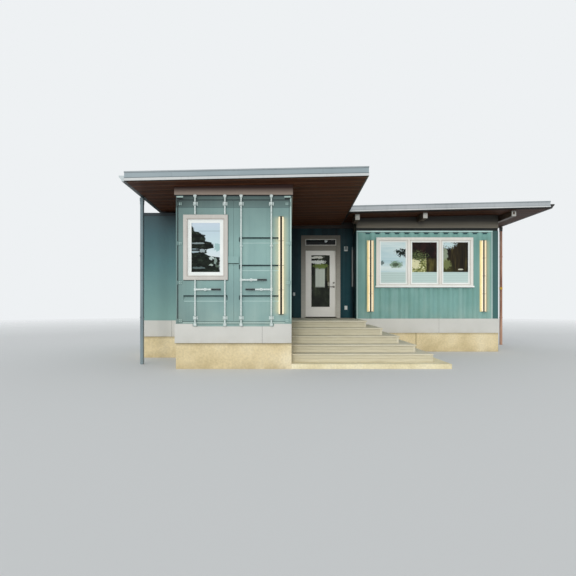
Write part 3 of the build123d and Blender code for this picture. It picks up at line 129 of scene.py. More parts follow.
class Finish:
    """A node material on Object coordinates, its tone laid step by step and then closed."""

    def __init__(self, name, **constants):
        self.material = bpy.data.materials.new(name)
        self.material.use_nodes = True
        self.tree = self.material.node_tree
        self.shader = self.tree.nodes["Principled BSDF"]
        self.place = self.add("TexCoord").outputs["Object"]
        for key, value in constants.items():
            self.shader.inputs[key.replace("_", " ")].default_value = value

    def add(self, kind, inputs=(), **settings):
        """Node of one kind, with its settings made and its inputs set or linked."""
        node = self.tree.nodes.new("ShaderNode" + kind)
        for key, value in settings.items():
            setattr(node, key, value)
        for key, value in dict(inputs).items():
            if isinstance(value, bpy.types.NodeSocket):
                self.tree.links.new(value, node.inputs[key])
            else:
                node.inputs[key].default_value = value
        return node

    def link(self, socket, name):
        self.tree.links.new(socket, self.shader.inputs[name])

    def axis(self, letter):
        """One Object coordinate."""
        return self.add("SeparateXYZ", {"Vector": self.place}).outputs[letter]

    def noise(self, scale, stretch=(1, 1, 1), detail=3.0, distortion=0.0):
        place = self.add("Mapping", {"Vector": self.place, "Scale": stretch}).outputs["Vector"]
        return self.add("TexNoise", {"Vector": place, "Scale": scale, "Detail": detail,
                                     "Distortion": distortion}).outputs[0]

    def grain(self, letter):
        """Streaks of wood along one axis."""
        return self.noise(2.0, GRAIN[letter], 5)

    def cells(self, scale, output):
        return self.add("TexVoronoi", {"Vector": self.place, "Scale": scale}).outputs[output]

    def math(self, operation, first, second=0.0):
        return self.add("Math", {0: first, 1: second}, operation=operation).outputs[0]

    def times(self, first, second):
        return self.math("MULTIPLY", first, second)

    def rest(self, mask):
        """1 where a mask is 0."""
        return self.math("SUBTRACT", 1.0, mask)

    def spread(self, value, low, high, to_low=0.0, to_high=1.0):
        """Value moved from one range to another, and held inside it."""
        return self.add("MapRange", {"Value": value, "From Min": low, "From Max": high,
                                     "To Min": to_low, "To Max": to_high}, clamp=True).outputs[0]

    def along(self, letter, *ends):
        """Place on an axis, moved from one range to another."""
        return self.spread(self.axis(letter), *ends)

    def past(self, letter, place):
        return self.math("GREATER_THAN", self.axis(letter), place)

    def before(self, letter, place):
        return self.math("LESS_THAN", self.axis(letter), place)

    def within(self, letter, low, high, soft=0.004):
        """1 between two places on an axis, 0 outside them."""
        rising = self.along(letter, low - soft, low + soft)
        return self.times(rising, self.along(letter, high - soft, high + soft, 1.0, 0.0))

    def steps(self, letter, pitch, start):
        """Number of pitches from a start along an axis."""
        return self.math("DIVIDE", self.math("SUBTRACT", self.axis(letter), start), pitch)

    def lines(self, letter, pitch, width, start):
        """1 on lines of one width at every pitch along an axis, 0 between them."""
        place = self.math("FRACT", self.steps(letter, pitch, start))
        return self.math("LESS_THAN", place, width / pitch)

    def board_tone(self, letter, pitch, start, amount):
        """A brightness for each board that stays the same along it."""
        board = self.math("FLOOR", self.steps(letter, pitch, start))
        tone = self.add("TexWhiteNoise", {"W": board}, noise_dimensions="1D").outputs[0]
        return self.spread(tone, 0.0, 1.0, 1 - amount, 1 + amount)

    def curve(self, value, stops):
        """Colours along a value, each stop a place and a linear colour."""
        node = self.add("ValToRGB", {"Fac": value})
        marks = node.color_ramp.elements
        while len(marks) < len(stops):
            marks.new(0.5)
        for mark, (position, colour) in zip(marks, stops):
            mark.position = position
            mark.color = colour
        return node.outputs["Color"]

    def ramp(self, value, *stops):
        """Colours along a value, each stop a place and a written colour."""
        return self.curve(value, [(place, linear(code)) for place, code in stops])

    def profile(self, value, *stops):
        """Outline along a value, each stop a place and a height from 0 to 1."""
        colour = self.curve(value, [(place, (high, high, high, 1.0)) for place, high in stops])
        return self.add("SeparateColor", {"Color": colour}).outputs[0]

    def mix(self, factor, first, second, blend="MIX"):
        return self.add("Mix", {0: factor, 6: first, 7: second}, data_type="RGBA",
                        blend_type=blend).outputs[2]

    def base(self, value, *stops):
        """First tone, a ramp of written colours along a value."""
        self.tone = self.ramp(value, *stops)

    def tint(self, factor):
        """Makes the tone lighter or darker by a factor."""
        node = self.add("VectorMath", {0: self.tone, "Scale": factor}, operation="SCALE")
        self.tone = node.outputs[0]

    def over(self, mask, colour, strength=1.0, blend="MIX"):
        """Lays a colour, written or of a socket, over the tone inside a mask."""
        if strength != 1.0:
            mask = self.times(mask, strength)
        if isinstance(colour, str):
            colour = linear(colour)
        self.tone = self.mix(mask, self.tone, colour, blend)

    def paint_underside_shade(self, code):
        """Painted shade: turns the faces that look down to another colour."""
        normal = self.add("NewGeometry").outputs["Normal"]
        height = self.add("SeparateXYZ", {"Vector": normal}).outputs["Z"]
        self.over(self.math("LESS_THAN", height, -0.6), code)

    def close(self, rough, *bumps):
        """Links the tone, the roughness and each bump, a height and its distance.

        The roughness is a socket, or a noise or its scale with a lowest and a highest value."""
        self.link(self.tone, "Base Color")
        if isinstance(rough, tuple):
            value, low, high = rough
            if not isinstance(value, bpy.types.NodeSocket):
                value = self.noise(value)
            rough = self.spread(value, 0.3, 0.7, low, high)
        self.link(rough, "Roughness")
        before = {}
        for height, distance in bumps:
            node = self.add("Bump", {"Height": height, "Distance": distance, "Strength": 1.0,
                                     **before})
            before = {"Normal": node.outputs["Normal"]}
        if before:
            self.link(before["Normal"], "Normal")
        return self.material


def container_paint(name, base, light, dark, shade=None):
    """Satin paint on pressed steel, with rain streaks, chips, a painted sheen on dents and a paler
    foot, partly dust and partly painted light.
    """
    finish = Finish(name, Coat_Weight=0.12, Coat_Roughness=0.35)
    clouds = finish.noise(0.9, detail=4)
    finish.base(finish.spread(clouds, 0.3, 0.7), (0.0, base), (1.0, light))
    streaks = finish.noise(1.0, (14, 14, 0.5), 5)
    finish.over(finish.spread(streaks, 0.50, 0.78, 0.0, 0.2), dark)
    # Painted sheen: pale patches where dents catch the light.
    dent_sheen = finish.noise(1.0, (3.4, 3.4, 0.35), 2)
    finish.over(finish.spread(dent_sheen, 0.52, 0.70, 0.0, 0.16), "B4CBC6")
    finish.over(finish.spread(finish.noise(42, detail=2), 0.68, 0.73, 0.0, 0.4), dark)
    # Paler foot: partly dust, partly painted light.
    foot_dust_and_light = finish.spread(finish.noise(3.0), 0.35, 0.65)
    finish.over(finish.times(finish.along("Z", 1.5, 0.9, 0.0, 0.22), foot_dust_and_light), "B9C4B4")
    if shade:
        shade(finish)
    return finish.close((6.0, 0.35, 0.52), (finish.noise(2.2, detail=1), 0.004),
                        (finish.noise(130, detail=1), 0.0003))


def painted_glow_beside_light(finish, low, high):
    """Painted glow: warm tint of the paint beside a linear light, between two places along X."""
    beside = finish.within("X", low, high, 0.05)
    finish.over(finish.times(beside, finish.within("Z", 1.15, 3.2, 0.04)), "C4C29F", 0.42)


def rail_painted_highlight(finish):
    """Painted highlight: brighter top rail."""
    finish.tint(finish.along("Z", 3.42, 3.45, 0.88, 1.35))


def end_painted_light(finish):
    """Painted shade: a deeper header over the cargo leaves, under the frieze, and a deeper left
    edge; painted light by height, and a painted glow beside the light bar.
    """
    # Painted shade of the header under the frieze, deepest at the left.
    header = finish.times(finish.past("Z", 3.401), finish.before("Y", -0.02))
    deep = finish.math("ADD", finish.along("Z", 3.66, 3.42, 0.60, 0.32),
                       finish.along("X", -1.2, -0.7, 0.20, 0.0))
    finish.tint(finish.rest(finish.times(header, deep)))
    # Painted light: brightest at the leaves' middle height, darker at their foot and top.
    level = finish.profile(finish.along("Z", 1.0, 3.4), (0.0, 0.84), (0.25, 0.88), (0.5, 0.94),
                           (0.7, 0.88), (0.85, 0.76), (1.0, 0.68))
    finish.tint(finish.times(level, 1.22))
    painted_glow_beside_light(finish, 0.86, 1.12)
    # Painted shade: the left edge darker.
    finish.tint(finish.along("X", -1.20, -0.40, 0.67, 1.0))


def long_side_painted_light(finish):
    """Painted highlight on the top rail of the long module and the wall under it, painted shade at
    its left end, a painted glow beside its light, and its plain corner strip in a deeper tone with
    painted shade towards its top.
    """
    # Painted highlight under the top rail.
    finish.tint(finish.along("Z", 3.2, 3.42, 1.0, 1.3))
    # Painted shade at the left end.
    finish.tint(finish.along("X", 3.1, 3.8, 0.88, 1.0))
    painted_glow_beside_light(finish, 6.84, 6.95)
    wall = finish.tone
    finish.base(finish.noise(2.0, (1, 1, 0.3)), (0.3, "2F595A"), (0.7, "3E6966"))
    # Painted shade: the corner strip darker towards the eave.
    finish.tint(finish.along("Z", 3.4, 1.2, 0.75, 1.12))
    strip = finish.times(finish.past("X", 7.037), finish.before("Y", 3.56))
    finish.tone = finish.mix(strip, wall, finish.tone)


def porch_wall_paint_and_shade():
    """Dark panels of the recessed wall, their dark tone partly paint and partly painted shade of
    the recess, with faint upright joints and bands; painted shade deepens them towards the top and
    at the left.
    """
    finish = Finish("entry_dark_teal", Specular_IOR_Level=0.25)
    bands = finish.noise(1.3, (2.6, 2.6, 0.12), 2)
    finish.base(bands, (0.34, "051F27"), (0.52, "113840"), (0.7, "234E55"))
    # Painted shade: darker towards the roof over the recess.
    finish.tint(finish.along("Z", 3.6, 1.0, 0.82, 1.28))
    # Painted shade: darker at the left, beside the left module.
    finish.tint(finish.along("X", 1.25, 1.75, 0.62, 1.0))
    joint = finish.lines("X", 0.305, 0.007, 1.261)
    finish.over(joint, "06141A")
    return finish.close((5.0, 0.3, 0.48), (finish.rest(joint), 0.003),
                        (finish.noise(2.0, detail=1), 0.003))


def wing_paint_and_shade():
    """Flat panels of the wing: painted shade darkens them under the eave, with joints down the
    panels.
    """
    finish = Finish("wing_panel_teal", Coat_Weight=0.15, Coat_Roughness=0.3)
    finish.base(finish.along("Z", 1.0, 3.7), (0.0, "A2D0C9"), (0.5, "6A9CA0"), (0.8, "466E77"),
                (1.0, "273C42"))
    finish.tint(finish.spread(finish.noise(1.1, detail=4), 0.3, 0.7, 0.93, 1.07))
    joints = finish.math("MAXIMUM", finish.lines("X", 0.305, 0.006, -2.578),
                         finish.lines("Y", 0.305, 0.006, 2.022))
    finish.over(joints, "33494C", 0.45)
    return finish.close((4.0, 0.38, 0.52), (finish.rest(joints), 0.003))


def zinc_coating(name, base, light):
    """Galvanised steel with its spangle and a little white bloom."""
    finish = Finish(name, Metallic=0.25)
    grey = finish.add("RGBToBW", {"Color": finish.cells(70, "Color")}).outputs[0]
    finish.base(grey, (0.1, base), (0.9, light))
    finish.over(finish.spread(finish.noise(9.0, (1, 1, 0.3)), 0.5, 0.75, 0.0, 0.6), "E2E9E6")
    return finish.close(finish.spread(grey, 0.0, 1.0, 0.3, 0.46),
                        (finish.noise(160, detail=1), 0.0003))


def painted_wood(name, base, light, grain="X", rough=0.5, mark=0.22):
    """Smooth painted boards with a faint grain and small marks."""
    finish = Finish(name, Coat_Weight=0.05)
    finish.base(finish.noise(1.6, detail=4), (0.3, base), (0.7, light))
    finish.over(finish.spread(finish.grain(grain), 0.5, 0.8, 0.0, mark), base, blend="MULTIPLY")
    return finish.close((5.0, rough - 0.06, rough + 0.08),
                        (finish.noise(5.0, GRAIN[grain], 4), 0.0009))


def casing_paint():
    """Greige casing boards; those of the long side are a shade lighter, a painted highlight against
    the eave's shade.
    """
    finish = Finish("casing_greige", Coat_Weight=0.05)
    clouds = finish.noise(1.6, detail=4)
    finish.base(clouds, (0.3, "C1BDB7"), (0.7, "CECBC5"))
    # Painted highlight: the casings of the long side lighter.
    finish.over(finish.past("X", 3.0), finish.ramp(clouds, (0.3, "E6E3DC"), (0.7, "F0EEE8")))
    grain = finish.grain("Z")
    finish.tint(finish.spread(grain, 0.3, 0.7, 0.96, 1.02))
    return finish.close((5.0, 0.44, 0.58), (grain, 0.0009))


def shaded_board_paint(name, top, low, span):
    """Painted board, with painted shade that darkens it towards the soffit above it."""
    finish = Finish(name, Coat_Weight=0.05)
    finish.base(finish.along("Z", *span), (0.0, low), (1.0, top))
    grain = finish.grain("X")
    finish.tint(finish.spread(grain, 0.3, 0.7, 0.93, 1.06))
    return finish.close((5.0, 0.44, 0.58), (grain, 0.0009))


def cripple_paint_and_shade():
    """Brown board over the long module, with painted shade that darkens it towards the soffit, and
    painted shadow in the deep gap under it.
    """
    finish = Finish("cripple_brown_board", Coat_Weight=0.05)
    grain = finish.grain("X")
    finish.base(grain, (0.3, "58544A"), (0.7, "676257"))
    # Painted shade towards the soffit.
    finish.tint(finish.along("Z", 3.57, 3.78, 1.4, 0.2))
    # Painted shadow in the gap under the board.
    finish.over(finish.times(finish.before("Z", 3.566), finish.before("Y", 3.58)), "101614")
    return finish.close((5.0, 0.46, 0.6), (grain, 0.0009))


def skirt_finish():
    """Painted skirt boards with open butt joints."""
    finish = Finish("skirt_paint", Coat_Weight=0.04)
    finish.base(finish.noise(1.1, detail=4), (0.3, "C9C9C4"), (0.7, "D6D5D0"))
    splash = finish.times(finish.along("Z", 0.72, 0.54, 0.0, 0.3),
                          finish.spread(finish.noise(5.0), 0.35, 0.7))
    finish.over(splash, "B8B1A0")
    joint = finish.lines("X", 2.44, 0.005, 0.60)
    finish.over(joint, "7A7872")
    return finish.close((6.0, 0.44, 0.6), (finish.noise(5.0, (0.5, 12, 12), 4), 0.001),
                        (finish.rest(joint), 0.004))


def concrete_finish(name, base, light, dark, wet=0.45):
    """Cast concrete with form lines, pin holes, painted shade at its top under the skirt and a damp
    foot.
    """
    finish = Finish(name)
    finish.base(finish.noise(1.4, detail=6), (0.28, dark), (0.5, base), (0.75, light))
    finish.tint(finish.spread(finish.noise(24, detail=5), 0.3, 0.7, 0.9, 1.08))
    # Painted shade under the skirt.
    finish.tint(finish.along("Z", 0.47, 0.545, 1.0, 0.62))
    damp = finish.times(finish.along("Z", 0.24, 0.0, 0.0, wet),
                        finish.spread(finish.noise(4.0), 0.3, 0.6))
    finish.over(damp, "A08F68")
    joint = finish.within("X", 4.818, 4.832, 0.001)
    finish.over(joint, "7A6E4C")
    pits = finish.spread(finish.cells(38, "Distance"), 0.05, 0.16)
    return finish.close((12, 0.78, 0.95), (finish.noise(30, detail=5), 0.0022), (pits, 0.0014),
                        (finish.rest(joint), 0.006))


def composite_board(name, base, light, dark, letter, pitch, start):
    """Capped composite boards: a fine embossed grain and a tone for each board."""
    finish = Finish(name)
    grain = finish.noise(3.0, (0.9, 30, 30), 6, 0.4)
    finish.base(grain, (0.22, dark), (0.5, base), (0.8, light))
    finish.tint(finish.board_tone(letter, pitch, start, 0.03))
    finish.tint(finish.along("Z", 0.9, 0.1, 0.96, 1.1))
    finish.over(finish.spread(finish.noise(2.2, detail=5), 0.45, 0.75, 0.0, 0.25), light)
    return finish.close((grain, 0.6, 0.78), (grain, 0.0012))


def soffit_stain():
    """Dark stained lining boards, grain along the cabin's front, with painted shade under the right
    roof.
    """
    finish = Finish("soffit_stained_boards", Specular_IOR_Level=0.2)
    grain = finish.noise(2.2, (0.7, 24, 24), 6, 0.8)
    finish.base(grain, (0.3, "260F04"), (0.52, "48220C"), (0.75, "633416"))
    finish.tint(finish.board_tone("Y", SOFFIT_PITCH, -0.499, 0.22))
    # Painted shade: the soffit of the right roof darker.
    finish.tint(finish.along("X", 2.76, 2.78, 1.0, 0.75))
    finish.over(finish.lines("Y", 2 * SOFFIT_PITCH, 0.035, -0.499), "7A5238", 0.5)
    return finish.close((grain, 0.5, 0.68), (grain, 0.0012))


def sheet_paint(name, base, light, rough=0.4, joint=None, underside_shade=None):
    """Baked paint on folded sheet, with slight waves and, on long runs, lap joints; where asked,
    painted shade on its undersides.
    """
    finish = Finish(name, Coat_Weight=0.15, Coat_Roughness=0.3)
    finish.base(finish.noise(0.8, detail=4), (0.3, base), (0.7, light))
    drips = finish.spread(finish.noise(1.2, (12, 12, 0.8), 5), 0.55, 0.8, 0.0, 0.3)
    finish.over(drips, base, blend="MULTIPLY")
    if joint:
        letter, pitch, start = joint
        finish.over(finish.lines(letter, pitch, 0.004, start), LAP_JOINT, 0.6)
    if underside_shade:
        finish.paint_underside_shade(underside_shade)
    return finish.close((4.0, rough - 0.06, rough + 0.1), (finish.noise(1.6, detail=1), 0.004))


def left_fascia_paint_and_shade():
    """Grey fascia of the left roof, with painted shade where the two roofs meet and on its
    undersides.
    """
    finish = Finish("fascia_grey_left", Coat_Weight=0.1, Coat_Roughness=0.3)
    finish.base(finish.noise(0.8, detail=4), (0.3, "8A999F"), (0.7, "9BA8AE"))
    finish.over(finish.lines("X", 3.05, 0.004, -1.2), LAP_JOINT, 0.6)
    # Painted shade where the fascia runs under the right roof.
    finish.over(finish.times(finish.past("X", 2.70), finish.past("Y", 2.79)), "24130C")
    finish.paint_underside_shade(UNDER_EAVES)
    return finish.close((4.0, 0.34, 0.5), (finish.noise(1.6, detail=1), 0.004))


def copper_spout():
    """Copper-brown pipe with its brass collar."""
    finish = Finish("downspout_copper_brown", Metallic=0.15)
    finish.base(finish.noise(2.0, (6, 6, 0.7), 4), (0.3, "8E5F4C"), (0.5, "A97A64"),
                (0.75, "CDA38C"))
    brass = finish.ramp(finish.noise(30), (0.3, "C08C22"), (0.7, "E5BC52"))
    finish.over(finish.within("Z", 1.862, 1.937, 0.001), brass)
    return finish.close((6.0, 0.34, 0.5), (finish.noise(40, (1, 1, 0.2), 2), 0.0004))


def plain_plastic(name, base, light, rough):
    """Moulded plastic or vinyl with a very fine grain."""
    finish = Finish(name, Coat_Weight=0.1, Coat_Roughness=0.2)
    finish.base(finish.noise(3.0), (0.3, base), (0.7, light))
    return finish.close((14, rough - 0.05, rough + 0.08), (finish.noise(240, detail=1), 0.0001))


def fitting_finish():
    """Pale moulded covers, with a dark bell plate and a bronze shade on the sconce."""
    finish = Finish("fitting_covers", Coat_Weight=0.1, Coat_Roughness=0.2)
    finish.base(finish.noise(3.0), (0.3, "E4EAE9"), (0.7, "F2F4F3"))
    finish.tint(finish.along("X", 3.04, 3.05, 1.0, 0.34))
    finish.over(finish.before("X", 1.40), "3C4446", 0.15)
    sconce = finish.times(finish.within("Z", 3.012, 3.125), finish.before("Y", 4.2415))
    finish.over(sconce, "5D6D70", 0.8)
    return finish.close((14, 0.3, 0.44), (finish.noise(240, detail=1), 0.0001))


def metal(name, base, light, rough, metallic):
    """Brushed or worn metal."""
    finish = Finish(name, Metallic=metallic)
    finish.base(finish.noise(8.0, (1, 1, 9), 4), (0.3, base), (0.7, light))
    return finish.close((20, rough - 0.06, rough + 0.1),
                        (finish.noise(120, (1, 1, 0.1), 2), 0.0002))


def lit_lens(name, colour, core, strength):
    """Frosted lens with the light inside it on."""
    finish = Finish(name, Roughness=0.5, Emission_Strength=strength, Specular_IOR_Level=0.2)
    finish.base(finish.noise(3.0, (1, 1, 0.4)), (0.3, colour), (0.7, core))
    finish.link(finish.tone, "Emission Color")
    finish.tint(0.22)
    finish.link(finish.tone, "Base Color")
    return finish.material


class Pane(Finish):
    """Finish of one pane, with how far across and how far up it a point lies, from 0 to 1."""

    def __init__(self, name, x, z):
        super().__init__("pane_of_" + name, Coat_Weight=0.08, Coat_Roughness=0.02,
                         Specular_IOR_Level=0.12)
        self.across = self.along("X", *x)
        self.up = self.along("Z", *z)

    def blot(self, centre, size, scale=22, ragged_by=0.8):
        """1 inside one ragged patch."""
        dx = self.math("DIVIDE", self.math("SUBTRACT", self.across, centre[0]), size[0])
        dz = self.math("DIVIDE", self.math("SUBTRACT", self.up, centre[1]), size[1])
        away = self.math("ADD", self.times(dx, dx), self.times(dz, dz))
        ragged = self.spread(self.noise(scale, (1, 1, 1.4), 6), 0.3, 0.7, -ragged_by, ragged_by)
        return self.spread(self.math("ADD", away, ragged), 0.85, 1.1, 1.0, 0.0)

    def patches(self, *marks):
        """Ragged patches: place across and up, half width and height, colour and strength."""
        for x, z, wide, high, code, strength in marks:
            self.over(self.blot((x, z), (wide, high)), code, strength)

    def blind(self):
        """Pale drawn blind over the foot of a lite, with its fine slats."""
        slats = self.times(self.lines("Z", 0.05, 0.014, 1.99), 0.5)
        blind = self.mix(slats, linear("C3D8D5"), linear("9DB4B2"))
        self.over(self.spread(self.up, 0.254, 0.270, 1.0, 0.0), blind)

    def glaze(self):
        return self.close((1.5, 0.05, 0.12))


def leaf_pane_finish():
    """Pane in the cargo leaf: painted reflections of pale sky at the right and of dark tree masses
    at the left and foot.
    """
    pane = Pane("cargo_leaf", *LEAF_PANE[:2])
    pane.base(pane.up, (0.3, "D9E3E8"), (0.6, "C6DBE1"), (0.85, "C0D3DE"), (1.0, "C6D4E2"))
    pane.patches((0.90, 0.50, 0.13, 0.085, "8FB4B4", 0.8))
    thin_line = pane.times(pane.within("Z", 2.904, 2.914),
                           pane.math("GREATER_THAN", pane.across, 0.25))
    pane.over(thin_line, "6F8587", 0.6)
    edge = pane.profile(pane.up, (0.0, 1.0), (0.30, 1.0), (0.33, 0.62), (0.36, 0.52),
                        (0.455, 0.50), (0.47, 0.62), (0.49, 0.78), (0.54, 0.80), (0.60, 0.74),
                        (0.62, 0.55), (0.65, 0.48), (0.755, 0.46), (0.785, 0.33), (0.815, 0.25),
                        (0.83, 0.08), (0.88, 0.09), (0.93, 0.05), (0.95, 0.0))
    wander = pane.spread(pane.noise(13.0, (1, 1, 1.5), 8, 0.5), 0.25, 0.75, -0.07, 0.07)
    gap = pane.math("SUBTRACT", pane.math("ADD", edge, wander), pane.across)
    tree_reflection = pane.ramp(pane.noise(11, (1, 1, 1.6), 5), (0.36, "080D0A"), (0.6, "1A231A"),
                      (0.8, "46554B"))
    pane.over(pane.spread(gap, -0.02, 0.03), tree_reflection)
    pane.patches((0.24, 0.588, 0.26, 0.016, "93A2A5", 0.75),
                 (0.10, 0.470, 0.13, 0.011, "8FA3AA", 0.8),
                 (0.11, 0.412, 0.16, 0.020, "A3B6BE", 0.85),
                 (0.38, 0.435, 0.12, 0.034, "A0AEB2", 0.85),
                 (0.70, 0.280, 0.08, 0.040, "C9D8D6", 0.8),
                 (0.84, 0.220, 0.05, 0.065, "93A69F", 0.8),
                 (0.70, 0.145, 0.08, 0.018, "A9B9B2", 0.85),
                 (0.91, 0.120, 0.07, 0.025, "5B6B5E", 0.8),
                 (0.24, 0.085, 0.24, 0.022, "5F7070", 0.8))
    return pane.glaze()


def sky_lite_finish():
    """Left lite of the long window: painted reflection of open sky with leaf blots."""
    pane = Pane("sky_lite", LITE_SPANS[0], LITE_Z)
    pane.base(pane.noise(2.4, (0.3, 1, 3.0), 3), (0.3, "B2D0D8"), (0.5, "CADFE3"),
              (0.75, "E6F1F0"))
    pane.over(pane.blot((0.94, 0.74), (0.32, 0.10), 26, 1.3), "1C2621")
    pane.patches((0.61, 0.45, 0.25, 0.085, "6F8A68", 0.8), (0.60, 0.44, 0.13, 0.045, "33412B", 0.8),
                 (0.05, 0.49, 0.09, 0.05, "41524F", 0.8))
    pane.blind()
    return pane.glaze()


def room_lite_finish():
    """Middle lite: painted shade of a dark room above, and a painted reflection of a sunlit garden
    at the left of its middle.
    """
    pane = Pane("room_lite", LITE_SPANS[1], LITE_Z)
    pane.base(pane.noise(6.0, (1, 1, 0.7), 5), (0.34, "0B0504"), (0.52, "180A09"),
              (0.72, "2E1613"))
    low = pane.ramp(pane.noise(5.0, (3.0, 1, 0.5), 4), (0.35, "17120A"), (0.6, "4A4322"),
                    (0.78, "6F6A38"))
    pane.over(pane.spread(pane.up, 0.62, 0.56), low)
    # Painted reflection of a sunlit garden.
    garden = pane.ramp(pane.noise(17, (1, 1, 1.2), 5), (0.34, "39431F"), (0.5, "8A8E56"),
                       (0.62, "C6C792"), (0.74, "EEF0DD"))
    corner = pane.times(pane.spread(pane.across, 0.60, 0.55), pane.spread(pane.up, 0.61, 0.58))
    pane.over(corner, garden)
    # Painted reflection of leaves.
    leaves = pane.ramp(pane.noise(30, (1, 1, 1.3), 4), (0.40, "1E2617"), (0.56, "55633A"),
                       (0.7, "A3AC78"))
    pane.over(pane.blot((0.12, 0.66), (0.46, 0.12), 26, 1.3), leaves, 0.9)
    pane.patches((0.12, 0.46, 0.20, 0.12, "E6E3BC", 0.8))
    pane.blind()
    return pane.glaze()


def dark_lite_finish():
    """Right lite: painted shade of a dark olive room with upright streaks, and a painted reflection
    of a little sky at its top left.
    """
    pane = Pane("dark_lite", LITE_SPANS[2], LITE_Z)
    pane.base(pane.noise(3.2, (5.0, 1, 0.35), 4), (0.34, "15100B"), (0.52, "2C2413"),
              (0.66, "57502A"), (0.8, "2F2618"))
    pane.over(pane.spread(pane.math("ADD", pane.across, pane.up), 0.9, 0.35, 0.0, 0.5), "53582C")
    pane.over(pane.blot((0.16, 0.96), (0.30, 0.10), 30, 1.3), "C6DCE0")
    pane.patches((0.08, 0.70, 0.10, 0.16, "9FAE98", 0.7), (0.14, 0.46, 0.18, 0.12, "848F5C", 0.6),
                 (0.70, 0.33, 0.11, 0.018, "D5D6C4", 0.8))
    pane.blind()
    return pane.glaze()


def door_pane_finish():
    """Tall door pane: a painted reflection as a bright patch at its top, a pale hanging at its
    middle with painted light on its folds, dark foot.
    """
    pane = Pane("entry_door", *DOOR_PANE)
    pane.base(pane.noise(5.0, (1, 1, 0.6), 5), (0.34, "12150F"), (0.55, "252B20"),
              (0.75, "414A36"))
    wide = pane.times(pane.spread(pane.across, 0.20, 0.24), pane.spread(pane.across, 0.75, 0.72))
    high = pane.times(pane.spread(pane.up, 0.37, 0.40), pane.spread(pane.up, 0.78, 0.72))
    # Painted light and shade on the hanging's folds.
    painted_fold_light = pane.times(pane.lines("X", 0.042, 0.014, 1.84), 0.6)
    hanging = pane.mix(painted_fold_light, linear("D6DED4"), linear("A2AEA2"))
    pane.over(pane.times(wide, high), hanging, 0.9)
    # Painted reflections at the top of the pane.
    pane.patches((0.48, 0.790, 0.42, 0.050, "6F823F", 0.9),
                 (0.32, 0.958, 0.34, 0.024, "E6E6DE", 0.95),
                 (0.36, 0.868, 0.42, 0.034, "E3E8E4", 0.95),
                 (0.93, 0.600, 0.09, 0.200, "625F48", 0.8),
                 (0.95, 0.440, 0.05, 0.040, "A9A79A", 0.8))
    return pane.glaze()


def transom_pane_finish():
    """Transom pane over the door, with almost nothing lit behind it, and a painted highlight."""
    low, high = BOX["transom_glass"]
    pane = Pane("transom", (low.x, high.x), (low.z, high.z))
    pane.base(pane.noise(3.0, (1, 1, 2), 4), (0.4, "070B0D"), (0.75, "1B2529"))
    pane.patches((0.68, 0.70, 0.045, 0.24, "DFE5E6", 0.9))
    return pane.glaze()


